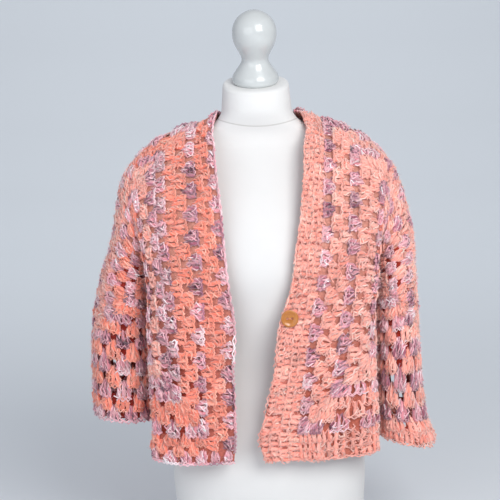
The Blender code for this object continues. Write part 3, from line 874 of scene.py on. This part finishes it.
def strands_mesh(name, groups, sides):
    """Strands swept along their paths, as one mesh."""
    places = [group[0] for group in groups]
    mesh = bpy.data.meshes.new(name)
    links = []
    start = 0
    for group in places:
        strand, step = np.meshgrid(np.arange(len(group)), np.arange(group.shape[1] - 1), indexing="ij")
        first = start + strand * group.shape[1] + step
        links.append(np.stack([first.ravel(), first.ravel() + 1], axis=1))
        start += group.shape[0] * group.shape[1]
    mesh.from_pydata(to_frame(np.concatenate([g.reshape(-1, 3) for g in places])).tolist(),
                     np.concatenate(links).tolist(), [])
    size = mesh.attributes.new("thickness", "FLOAT", "POINT")
    size.data.foreach_set("value", np.concatenate([group[1].ravel() for group in groups]))
    colour_attribute(mesh, np.concatenate([group[2].reshape(-1, 3) for group in groups]))
    return swept(mesh, sides)


def fuzz(piece, count):
    """Straight slivers of loose fibre: vertices, faces and colours."""
    plies = [g for g in piece.strands if g[4] == 3]
    places = np.concatenate([g[0].reshape(-1, 3) for g in plies])
    facing = np.concatenate([g[3].reshape(-1, 3) for g in plies])
    tints = np.concatenate([g[2].reshape(-1, 3) for g in plies])
    chosen = rng.integers(0, len(places), count)
    root, out, tint = places[chosen], facing[chosen], tints[chosen]
    way = out * rng.uniform(0.2, 1.0, (count, 1)) + 0.9 * rng.standard_normal((count, 3))
    way /= np.linalg.norm(way, axis=1, keepdims=True)
    side = np.cross(way, rng.standard_normal((count, 3)))
    side *= FUZZ_HALF_WIDTH / np.linalg.norm(side, axis=1, keepdims=True)
    root = root + out * 0.8
    tip = root + way * rng.uniform(*FUZZ_LENGTH, (count, 1))
    corners = np.stack([root - side, root + side, tip], axis=1)
    faces = np.arange(count * 3).reshape(-1, 3).tolist()
    return to_frame(corners.reshape(-1, 3)), faces, np.repeat(np.sqrt(tint) * 0.5 + tint * 0.5, 3, axis=0)


def fabric_piece(node, piece):
    """All strands and loose fibres of one piece of the cardigan."""
    fibres, faces, fibre_colours = fuzz(piece, FUZZ_PER_STRAND * piece.count())
    mesh = bpy.data.meshes.new(node + "_stitches")
    mesh.from_pydata(fibres.tolist(), [], faces)
    colour_attribute(mesh, fibre_colours)
    bm = bmesh.new()
    bm.from_mesh(mesh)
    for sides in SWEEPS:
        tubes = strands_mesh(node + "_paths", [g for g in piece.strands if g[4] == sides], sides)
        bm.from_mesh(tubes)
        bpy.data.meshes.remove(tubes)
    bm.to_mesh(mesh)
    bm.free()
    mesh.materials.clear()
    mesh.materials.append(wool)
    mesh.shade_smooth()
    obj = add_object(node + "_stitches", mesh)
    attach(obj, "root")
    mesh.calc_loop_triangles()
    print(obj.name, "triangles", len(mesh.loop_triangles))
    return obj


stitch_pieces = {node: fabric_piece(node, piece) for node, piece in pieces.items()}

# %% [markdown]
# ## The cloth under the stitches
# Between the fans the eye sees the backs of the stitches, deep in shade. Modelling them too would double the count
# of strands, so a thin shell just inside each piece stands for them, with soft lumps in its colour and bump. Its
# colours hold painted shade: darker between the lumps, darker towards the hem, deep red on the sleeves. Near
# the cuffs the net is open, so its gaps are cut out of the shell there.

# %% Backs of the stitches
BACK_LOOP = 4.5  # mm from loop to loop
# The shell's material: the yarn colour of the stitches' backs, with painted shade in it.
backs, tree, shader = new_material("stitch_backs_and_shade", 0.95, Sheen_Weight=0.2, Specular_IOR_Level=0.1)
place = node_with(tree, "ShaderNodeTexCoord").outputs["Object"]
dyed = node_with(tree, "ShaderNodeAttribute", {"attribute_name": "yarn"}).outputs["Color"]
loops = node_with(tree, "ShaderNodeTexVoronoi", {"Scale": 1 / (BACK_LOOP * MM), "Randomness": 0.9},
                  {"Vector": place})
# Darker away from each lump's middle: painted shade between the lumps.
tone = node_with(tree, "ShaderNodeMapRange", {"From Min": 0.0, "From Max": 0.8, "To Min": 1.05, "To Max": 0.7},
                 {"Value": loops.outputs["Distance"]})
shaded = node_with(tree, "ShaderNodeVectorMath", {"operation": "SCALE"}, {"Vector": dyed, "Scale": tone.outputs[0]})
tree.links.new(shaded.outputs[0], shader.inputs["Base Color"])
bump = node_with(tree, "ShaderNodeBump", {"Strength": 0.8, "Distance": 1.2 * MM},
                 {"Height": loops.outputs["Distance"]})
tree.links.new(bump.outputs[0], shader.inputs["Normal"])
# Painted shade in the gaps' colours: pale pink high up, where the white form shows through, and dark red down at
# the hem, where they look into the dark between cloth and form. The sleeves and cuffs get a deeper red: painted shade
# with red bounce light.
GAP_SHADE = {  # piece: colour high up, colour at the hem
    "right_front": ("#D69686", "#A03C2E"),
    "right_front_hem": ("#C46A5A", "#C46A5A"),
    "right_back": ("#C4786A", "#96382C"),
    "right_back_hem": ("#96382C", "#96382C"),
    "right_sleeve": ("#A83A30", "#86201A"),
    "right_cuff": ("#8C2A20", "#8C2A20"),
    "right_band": ("#D89282", "#C87264"),
    "left_front": ("#DC9C8C", "#C46C5A"),
    "left_front_hem": ("#D27C6A", "#D27C6A"),
    "left_back": ("#C4786A", "#96382C"),
    "left_back_hem": ("#96382C", "#96382C"),
    "left_sleeve": ("#B04032", "#98281E"),
    "left_cuff": ("#A84434", "#A84434"),
    "left_band": ("#E4968A", "#E0897A"),
}
# Painted shade: between these heights the gaps' colour darkens towards the hem.
DARK_BELOW, PALE_ABOVE = 0.27, 0.50  # heights between which the gaps' colour changes, in metres
SHELL_HEIGHT = -3.4  # mm from the middle of the fabric
FIRST_OPEN_ROUND = 12


def is_gap(u, v):
    """Whether a place near the cuff lies in a gap between two fans."""
    n = math.floor(u * 14) + 1
    b = u * 14 - (n - 1)
    parity = (n - 2) % 2
    w = (v * 14 - parity) / 2
    return n >= FIRST_OPEN_ROUND and 0.1 < b < 0.6 and abs(w - math.floor(w) - 0.5) < 0.13


def shell(node, sides, us, vs, flat, gaps=False):
    """A thin shell over one or both sides of a piece, from a grid of its places."""
    bm = bmesh.new()
    half_name = node.split("_")[0]
    for back in sides:
        already = len(bm.faces)
        grid = bmesh.ops.create_grid(bm, x_segments=len(us) - 1, y_segments=len(vs) - 1, size=0.5)["verts"]
        for vert in grid:
            vert.co.x = us[0] + (vert.co.x + 0.5) * (us[-1] - us[0])
            vert.co.y = vs[0] + (vert.co.y + 0.5) * (vs[-1] - vs[0])
        flat_places = np.array([vert.co[:2] for vert in grid])
        if gaps:
            bm.faces.ensure_lookup_table()
            open_faces = [face for face in bm.faces[already:] if is_gap(*face.calc_center_median()[:2])]
        places, _ = charts[half_name, back].read(flat_places[:, 0], flat_places[:, 1], SHELL_HEIGHT)
        for vert, place in zip(grid, to_frame(places)):
            vert.co = place
        if gaps:
            bmesh.ops.delete(bm, geom=open_faces, context="FACES")
    bmesh.ops.remove_doubles(bm, verts=bm.verts, dist=0.02 * MM)
    bmesh.ops.recalc_face_normals(bm, faces=bm.faces)
    mesh = mesh_from(bm, node + "_cloth")
    # Painted shade: the gap colour goes from its high to its low value with height.
    high, low = [linear(colour) for colour in GAP_SHADE[node]]
    heights = np.array([vert.co.z for vert in mesh.vertices])
    paleness = np.clip((heights - DARK_BELOW) / (PALE_ABOVE - DARK_BELOW), 0, 1)[:, None]
    colour_attribute(mesh, low * (1 - paleness) + high * paleness)
    mesh.materials.append(backs)
    mesh.shade_smooth()
    obj = add_object(node + "_cloth", mesh)
    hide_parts(node)
    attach(obj, "root")
    area = sum(face.area for face in mesh.polygons)
    flat_area = flat[0] * flat[1]
    print(obj.name, "area", round(area, 4), "flat", round(flat_area, 4), "share", round(area / flat_area, 2))


def every(low, high, step=STEP):
    """Even places from low to high, about a step apart."""
    return np.linspace(low, high, max(2, round((high - low) / step) + 1))


# Flat sizes of the cut in metres: a round is 18.2 mm deep, and a hexagon has 14 of them from its middle to a side.
FLAT = {
    "body": (0.235, 0.51),
    "hem": (0.235, 0.048),
    "sleeve": (0.255, 0.42),
    "cuff": (0.042, 0.42),
    "band": (0.048, 0.58),
}
BORDER_STEP, SLEEVE_STEP, CUFF_STEP = 0.06, 1 / 42, 1 / 56
for name in ("right", "left"):
    for side in ("front", "back"):
        back, node = side == "back", "%s_%s" % (name, side)
        shell(node, [back], every(-1, 0), every(-1, 1), FLAT["body"])
        shell(node + "_hem", [back], every(-1, 0), every(HEM_V, -1, BORDER_STEP),
              FLAT["hem"])
    shell(name + "_sleeve", [False, True], every(0, 1, SLEEVE_STEP), every(0, 1, SLEEVE_STEP),
          FLAT["sleeve"], gaps=True)
    shell(name + "_cuff", [False, True], every(1, CUFF_U, CUFF_STEP), every(0, 1, CUFF_STEP),
          FLAT["cuff"], gaps=True)
    shell(name + "_band", [False], every(BAND_U, -1, BORDER_STEP), every(HEM_V, 1),
          FLAT["band"])

# %% [markdown]
# ## The dress form
# The form's torso is covered in white cotton jersey, with a seam round the neck's base, and its knob is turned wood
# in white gloss paint. Their solids have few faces, so both are made again from the same sections with finer steps:
# rings bridged into a skin for the torso, and a profile spun round for the knob. The seam and the knit are finer than
# a face, so they are colour and bump.

# %% White jersey
# Stretched cotton jersey: even and matte, with a soft edge light and a knit that shows only close up.
NECK_SEAM_Z = 694.0  # mm
NECK_SEAM_RISE = 0.0028  # per millimetre of width, squared
KNIT_WALE = 0.55  # mm
jersey, tree, shader = new_material("white_jersey", 0.9, Sheen_Weight=0.15, Specular_IOR_Level=0.25)
place = node_with(tree, "ShaderNodeTexCoord").outputs["Object"]
split = node_with(tree, "ShaderNodeSeparateXYZ", None, {"Vector": place})
soft = node_with(tree, "ShaderNodeTexNoise", {"Scale": 1 / (60 * MM), "Detail": 2.0}, {"Vector": place})
ramp = node_with(tree, "ShaderNodeValToRGB", None, {"Fac": soft.outputs["Fac"]})
ramp.color_ramp.elements[0].color = rgba(linear("#DFDFDE"))
ramp.color_ramp.elements[1].color = rgba(linear("#E6E6E5"))
sideways = node_with(tree, "ShaderNodeMath", {"operation": "MULTIPLY", 1: 1 / MM}, {0: split.outputs["X"]})
from_axis = node_with(tree, "ShaderNodeMath", {"operation": "SUBTRACT", 1: float(SHIFT[0])},
                      {0: sideways.outputs[0]})
squared = node_with(tree, "ShaderNodeMath", {"operation": "MULTIPLY"},
                    {0: from_axis.outputs[0], 1: from_axis.outputs[0]})
arch = node_with(tree, "ShaderNodeMath", {"operation": "MULTIPLY_ADD", 1: NECK_SEAM_RISE, 2: NECK_SEAM_Z},
                 {0: squared.outputs[0]})
upward_mm = node_with(tree, "ShaderNodeMath", {"operation": "MULTIPLY", 1: 1 / MM}, {0: split.outputs["Z"]})
off = node_with(tree, "ShaderNodeMath", {"operation": "SUBTRACT"}, {0: upward_mm.outputs[0], 1: arch.outputs[0]})
away = node_with(tree, "ShaderNodeMath", {"operation": "ABSOLUTE"}, {0: off.outputs[0]})
seam = node_with(tree, "ShaderNodeMapRange", {"From Min": 0.3, "From Max": 1.6, "To Min": 0.0, "To Max": 1.0},
                 {"Value": away.outputs[0]})
tinted = node_with(tree, "ShaderNodeMix", {"data_type": "RGBA", 6: rgba(linear("#C9C7C5"))},
                   {0: seam.outputs[0], 7: ramp.outputs[0]})
tree.links.new(tinted.outputs[2], shader.inputs["Base Color"])
bands = {"wave_type": "BANDS", "bands_direction": "X", "Scale": 1 / (2 * math.pi * KNIT_WALE * MM), "Distortion": 0.6}
knit = node_with(tree, "ShaderNodeTexWave", bands, {"Vector": place})
heights = node_with(tree, "ShaderNodeMath", {"operation": "MULTIPLY_ADD", 1: 0.25},
                    {0: knit.outputs["Fac"], 2: seam.outputs[0]})
bump = node_with(tree, "ShaderNodeBump", {"Strength": 0.35, "Distance": 0.6 * MM}, {"Height": heights.outputs[0]})
tree.links.new(bump.outputs[0], shader.inputs["Normal"])
print("material", jersey.name)

# %% White gloss paint
# Enamel brushed on turned wood: small sharp highlights over a faintly uneven coat.
BRUSH_MARK = 22  # mm
paint, tree, shader = new_material("gloss_paint", 0.22, Coat_Weight=0.6, Coat_Roughness=0.12)
place = node_with(tree, "ShaderNodeTexCoord").outputs["Object"]
brushed = node_with(tree, "ShaderNodeTexNoise", {"Scale": 1 / (BRUSH_MARK * MM), "Detail": 2.0}, {"Vector": place})
ramp = node_with(tree, "ShaderNodeValToRGB", None, {"Fac": brushed.outputs["Fac"]})
ramp.color_ramp.elements[0].color = rgba(linear("#C3C7C7"))
ramp.color_ramp.elements[1].color = rgba(linear("#CDD1D1"))
tree.links.new(ramp.outputs[0], shader.inputs["Base Color"])
bump = node_with(tree, "ShaderNodeBump", {"Strength": 0.08, "Distance": 1.0 * MM}, {"Height": brushed.outputs["Fac"]})
tree.links.new(bump.outputs[0], shader.inputs["Normal"])
print("material", paint.name)

# %% Amber resin
# Cast and polished resin: warm and cloudy, and a little light goes into it.
CLOUD = 9  # mm
amber, tree, shader = new_material("amber_resin", 0.3, Transmission_Weight=0.15, Coat_Weight=0.5, IOR=1.54)
place = node_with(tree, "ShaderNodeTexCoord").outputs["Object"]
clouds = node_with(tree, "ShaderNodeTexNoise", {"Scale": 1 / (CLOUD * MM), "Detail": 4.0, "Distortion": 1.2},
                   {"Vector": place})
ramp = node_with(tree, "ShaderNodeValToRGB", None, {"Fac": clouds.outputs["Fac"]})
ramp.color_ramp.elements[0].color = rgba(linear("#A85C18"))
ramp.color_ramp.elements[1].color = rgba(linear("#D98C34"))
tree.links.new(ramp.outputs[0], shader.inputs["Base Color"])
bump = node_with(tree, "ShaderNodeBump", {"Strength": 0.1, "Distance": 0.5 * MM}, {"Height": clouds.outputs["Fac"]})
tree.links.new(bump.outputs[0], shader.inputs["Normal"])
print("material", amber.name)

# %% Sections of the torso and profile of the knob
FORM_SECTIONS = (  # height, half width, y of the front, y of the back
    (0, 155, -93, 96),
    (60, 160, -100, 102),
    (115, 163, -106, 104),
    (200, 152, -102, 94),
    (320, 124, -88, 72),
    (400, 137, -108, 80),
    (470, 150, -124, 92),
    (530, 156, -114, 97),
    (585, 168, -88, 96),
    (625, 180, -62, 84),
    (648, 180, -46, 66),
    (664, 164, -36, 54),
    (677, 136, -34, 49),
    (687, 108, -36, 49),
    (695, 85, -40, 49),
    (704, 69, -45, 49),
    (714, 61, -50, 50),
    (736, 57, -53, 49),
)
FORM_SQUARENESS = 2.25
FORM_EDGE = 6.0  # radius of the neck plate's edge
NECK_TOP = 766.0
NECK_LEAN = -4.0  # how far the neck stands to the wearer's right of the hips
NECK_CENTRE_Y = -2.0
KNOB_TILT = math.radians(17.5)  # the neck plate slopes forward, and the knob stands square on it
KNOB_GAP = 0.3
KNOB_PROFILE = (  # height, radius
    (0.0, 35.5),
    (2.0, 37.6),
    (8.0, 38.4),
    (13.0, 37.4),
    (19.0, 33.6),
    (25.0, 29.2),
    (31.0, 25.2),
    (38.0, 22.2),
    (44.0, 22.8),
    (50.0, 25.4),
    (56.0, 28.6),
    (64.0, 32.6),
    (74.0, 35.7),
    (84.5, 36.4),
    (95.0, 35.0),
    (104.5, 30.4),
    (112.0, 23.8),
    (117.0, 15.8),
    (120.0, 8.0),
    (121.0, 0.0),
)
print("torso sections", len(FORM_SECTIONS), "knob profile rows", len(KNOB_PROFILE))


# %% The torso
def finished(name, bm, material, node, smooth=40):
    """A mesh object in the frame's metres that stands for a solid."""
    bmesh.ops.recalc_face_normals(bm, faces=bm.faces)
    mesh = mesh_from(bm, name)
    mesh.materials.append(material)
    mesh.shade_smooth()
    mesh.set_sharp_from_angle(angle=math.radians(smooth))
    obj = add_object(name, mesh)
    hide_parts(node)
    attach(obj, "root")
    print(name, "faces", len(mesh.polygons))


def ring(z, half_width, front, back, tilt=0.0):
    """A level line round the torso, or one that slopes with the neck plate."""
    a = np.linspace(0, 2 * np.pi, 96, endpoint=False)
    c, s = np.cos(a), np.sin(a)
    power = 2 / FORM_SQUARENESS
    x = half_width * np.sign(c) * np.abs(c) ** power + NECK_LEAN * z / NECK_TOP
    y = (front + back) / 2 + (back - front) / 2 * np.sign(s) * np.abs(s) ** power
    return to_frame(np.stack([x, y, z + (y - NECK_CENTRE_Y) * tilt], 1))


bm = bmesh.new()
heights = [row[0] for row in FORM_SECTIONS]
levels = [ring(z, *spline(heights, [row[1:] for row in FORM_SECTIONS], z))
          for z in np.concatenate([np.arange(0, 640, 16), np.arange(640, 732, 4), [736]])]
_, neck_width, neck_front, neck_back = FORM_SECTIONS[-1]
for a in np.linspace(0, math.pi / 2, 6):
    drop, shrink = FORM_EDGE * (1 - math.sin(a)), FORM_EDGE * (1 - math.cos(a))
    levels.append(ring(NECK_TOP - drop, neck_width - 2 - shrink, neck_front + 1 + shrink, neck_back - 1 - shrink,
                       math.tan(KNOB_TILT)))
lines = []
for level in levels:
    verts = [bm.verts.new(p) for p in level]
    lines.append([bm.edges.new((verts[k - 1], verts[k])) for k in range(len(verts))])
for low, high in zip(lines, lines[1:]):
    bmesh.ops.bridge_loops(bm, edges=low + high)
bmesh.ops.contextual_create(bm, geom=lines[0])
bmesh.ops.contextual_create(bm, geom=lines[-1])
finished("torso_form", bm, jersey, "form_torso")


# %% The knob
def turned(profile, steps):
    """A solid turned round Z from pairs of radius and height in millimetres."""
    bm = bmesh.new()
    line = [bm.verts.new((r * MM, 0.0, z * MM)) for r, z in profile]
    edges = [bm.edges.new(pair) for pair in zip(line, line[1:])]
    bmesh.ops.spin(bm, geom=line + edges, cent=(0, 0, 0), axis=(0, 0, 1), angle=2 * math.pi, steps=steps,
                   use_merge=True)
    bmesh.ops.remove_doubles(bm, verts=bm.verts, dist=0.01 * MM)
    return bm


knob_heights, knob_radii = [row[0] for row in KNOB_PROFILE], [row[1:] for row in KNOB_PROFILE]
profile = [(float(spline(knob_heights, knob_radii, z)[0]), z) for z in np.linspace(0, 119.5, 60)]
bm = turned([(r, z + KNOB_GAP) for r, z in [(0.0, 0.0), *profile, (0.0, 121.0)]], 96)
foot = Vector(to_frame((NECK_LEAN, NECK_CENTRE_Y, NECK_TOP)))
bm.transform(Matrix.Translation(foot) @ Matrix.Rotation(KNOB_TILT, 4, "X"))
finished("turned_knob", bm, paint, "form_knob")

# %% [markdown]
# ## Button
# The button is a shallow dish of amber resin with a raised rim and two holes, sewn on the left band with the coral
# yarn. Its rim could be bevelled from a disc, but a spun profile gives the dish, the rim and the rounded edge at
# once. The holes are drilled with a Boolean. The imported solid's own points say where the button lies and faces.

# %% The button
HOLE_RADIUS, HOLE_FROM_MIDDLE = 1.9, 3.6  # mm
BUTTON_PROFILE = [(0.0, -2.0), (10.5, -2.0), (12.6, -1.5), (13.7, -0.4), (14.0, 0.6), (13.6, 1.6), (12.4, 2.1),
                  (11.0, 1.9), (9.4, 1.1), (7.0, 0.5), (3.5, 0.3), (0.0, 0.3)]  # radius, height
cad_button = np.array([v.co[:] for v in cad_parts["button"].data.vertices])
middle = (cad_button.min(0) + cad_button.max(0)) / 2
facing = np.linalg.svd(cad_button - middle)[2][2]
facing *= -np.sign(facing[1])
lay = Matrix.Translation(Vector(middle)) @ Vector(facing).to_track_quat("Z", "Y").to_matrix().to_4x4()
bm = turned(BUTTON_PROFILE, 64)
bm.transform(lay)
undrilled = add_object("undrilled", mesh_from(bm, "undrilled"))
bm = bmesh.new()
for side in (-1, 1):
    bmesh.ops.create_cone(bm, cap_ends=True, segments=24, radius1=HOLE_RADIUS * MM, radius2=HOLE_RADIUS * MM,
                          depth=8 * MM, matrix=lay @ Matrix.Translation((side * HOLE_FROM_MIDDLE * MM, 0, 0)))
drills = add_object("drills", mesh_from(bm, "drills"))
cut = undrilled.modifiers.new("holes", "BOOLEAN")
cut.operation, cut.solver, cut.object = "DIFFERENCE", "EXACT", drills
bm = bmesh.new()
bm.from_mesh(finished_mesh(undrilled))
bpy.data.objects.remove(drills, do_unlink=True)
finished("resin_button", bm, amber, "button")

# %% Thread through the button's holes
THREAD_RADIUS = 0.3  # mm
THREAD_LINE = ((-3.2, -1.6), (-3.0, 0.2), (-1.6, 0.9), (0, 1.05), (1.6, 0.9), (3.0, 0.2), (3.2, -1.6))  # across, up
bm = bmesh.new()
for lane in (-0.5, 0.0, 0.5):
    line = [bm.verts.new(lay @ Vector((x * MM, lane * MM, z * MM))) for x, z in THREAD_LINE]
    for pair in zip(line, line[1:]):
        bm.edges.new(pair)
thread_paths = mesh_from(bm, "thread_paths")
size = thread_paths.attributes.new("thickness", "FLOAT", "POINT")
size.data.foreach_set("value", [THREAD_RADIUS] * len(thread_paths.vertices))
colour_attribute(thread_paths, np.tile(linear("#D98A6C"), (len(thread_paths.vertices), 1)))
thread_mesh = swept(thread_paths, 4)
thread_mesh.materials.clear()
thread_mesh.materials.append(wool)
thread = add_object("button_thread", thread_mesh)
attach(thread, "root")
print("thread faces", len(thread_mesh.polygons))

# %% [markdown]
# ## Floor, backdrop and light
# The picture was taken against a pale grey wall in soft daylight. One swept sheet serves as floor and wall, and its
# wall stands far behind, so that it hides nothing when the object is seen from other sides. A soft light stands at
# the right above the camera, a wider and cooler one at the left fills the shade, and a third one lights the sheet.

# %% Floor and wall
# Matt emulsion on a smooth wall: one even pale grey without gloss.
studio, tree, shader = new_material("pale_wall_paint", 0.9)
shader.inputs["Base Color"].default_value = rgba(linear("#DCE1E5"))
SHEET_PROFILE = [(-8.0, 0.0), (2.6, 0.0), (3.8, 0.06), (4.8, 0.25), (5.5, 0.6), (6.0, 1.1), (6.3, 1.8), (6.4, 2.6),
                 (6.4, 6.0)]  # y and z in metres
SHEET_WIDTH = 18.0
bm = bmesh.new()
line = [bm.verts.new((-SHEET_WIDTH / 2, y, z)) for y, z in SHEET_PROFILE]
edges = [bm.edges.new(pair) for pair in zip(line, line[1:])]
drawn = bmesh.ops.extrude_edge_only(bm, edges=edges)["geom"]
bmesh.ops.translate(bm, vec=(SHEET_WIDTH, 0, 0), verts=[v for v in drawn if isinstance(v, bmesh.types.BMVert)])
bmesh.ops.recalc_face_normals(bm, faces=bm.faces)
mesh = mesh_from(bm, "floor_and_wall")
mesh.materials.append(studio)
mesh.shade_smooth()
backdrop = add_object("floor_and_wall", mesh)
print("the wall stands", SHEET_PROFILE[-1][0], "m behind")


# %% Soft studio light
def area_light(name, place, aim, size, power, colour):
    """A rectangular light that faces a place. Its power is in watts."""
    data = bpy.data.lights.new(name, "AREA")
    data.shape = "RECTANGLE"
    data.size, data.size_y = size
    data.energy = power
    data.color = colour
    obj = add_object(name, data)
    obj.location = place
    obj.rotation_euler = (Vector(aim) - Vector(place)).to_track_quat("-Z", "Y").to_euler()
    return obj


area_light("window", (0.85, -1.85, 1.5), (0, 0, 0.5), (1.2, 1.2), 37, (1.0, 0.995, 0.98))
area_light("room", (-1.4, -2.2, 0.75), (0, 0, 0.45), (2.2, 2.2), 22, (0.95, 0.97, 1.0))
high = area_light("backdrop", (0, 2.9, 4.4), (0, 5.2, 0), (6.0, 1.6), 105, (0.97, 0.985, 1.0))
high.visible_glossy = False
world = bpy.data.worlds.new("daylight")
world.use_nodes = True
sky = world.node_tree.nodes["Background"]
sky.inputs["Color"].default_value = rgba(linear("#E3E6F0"))
sky.inputs["Strength"].default_value = 0.48
bpy.context.scene.world = world
bpy.context.scene.view_settings.view_transform = "Standard"
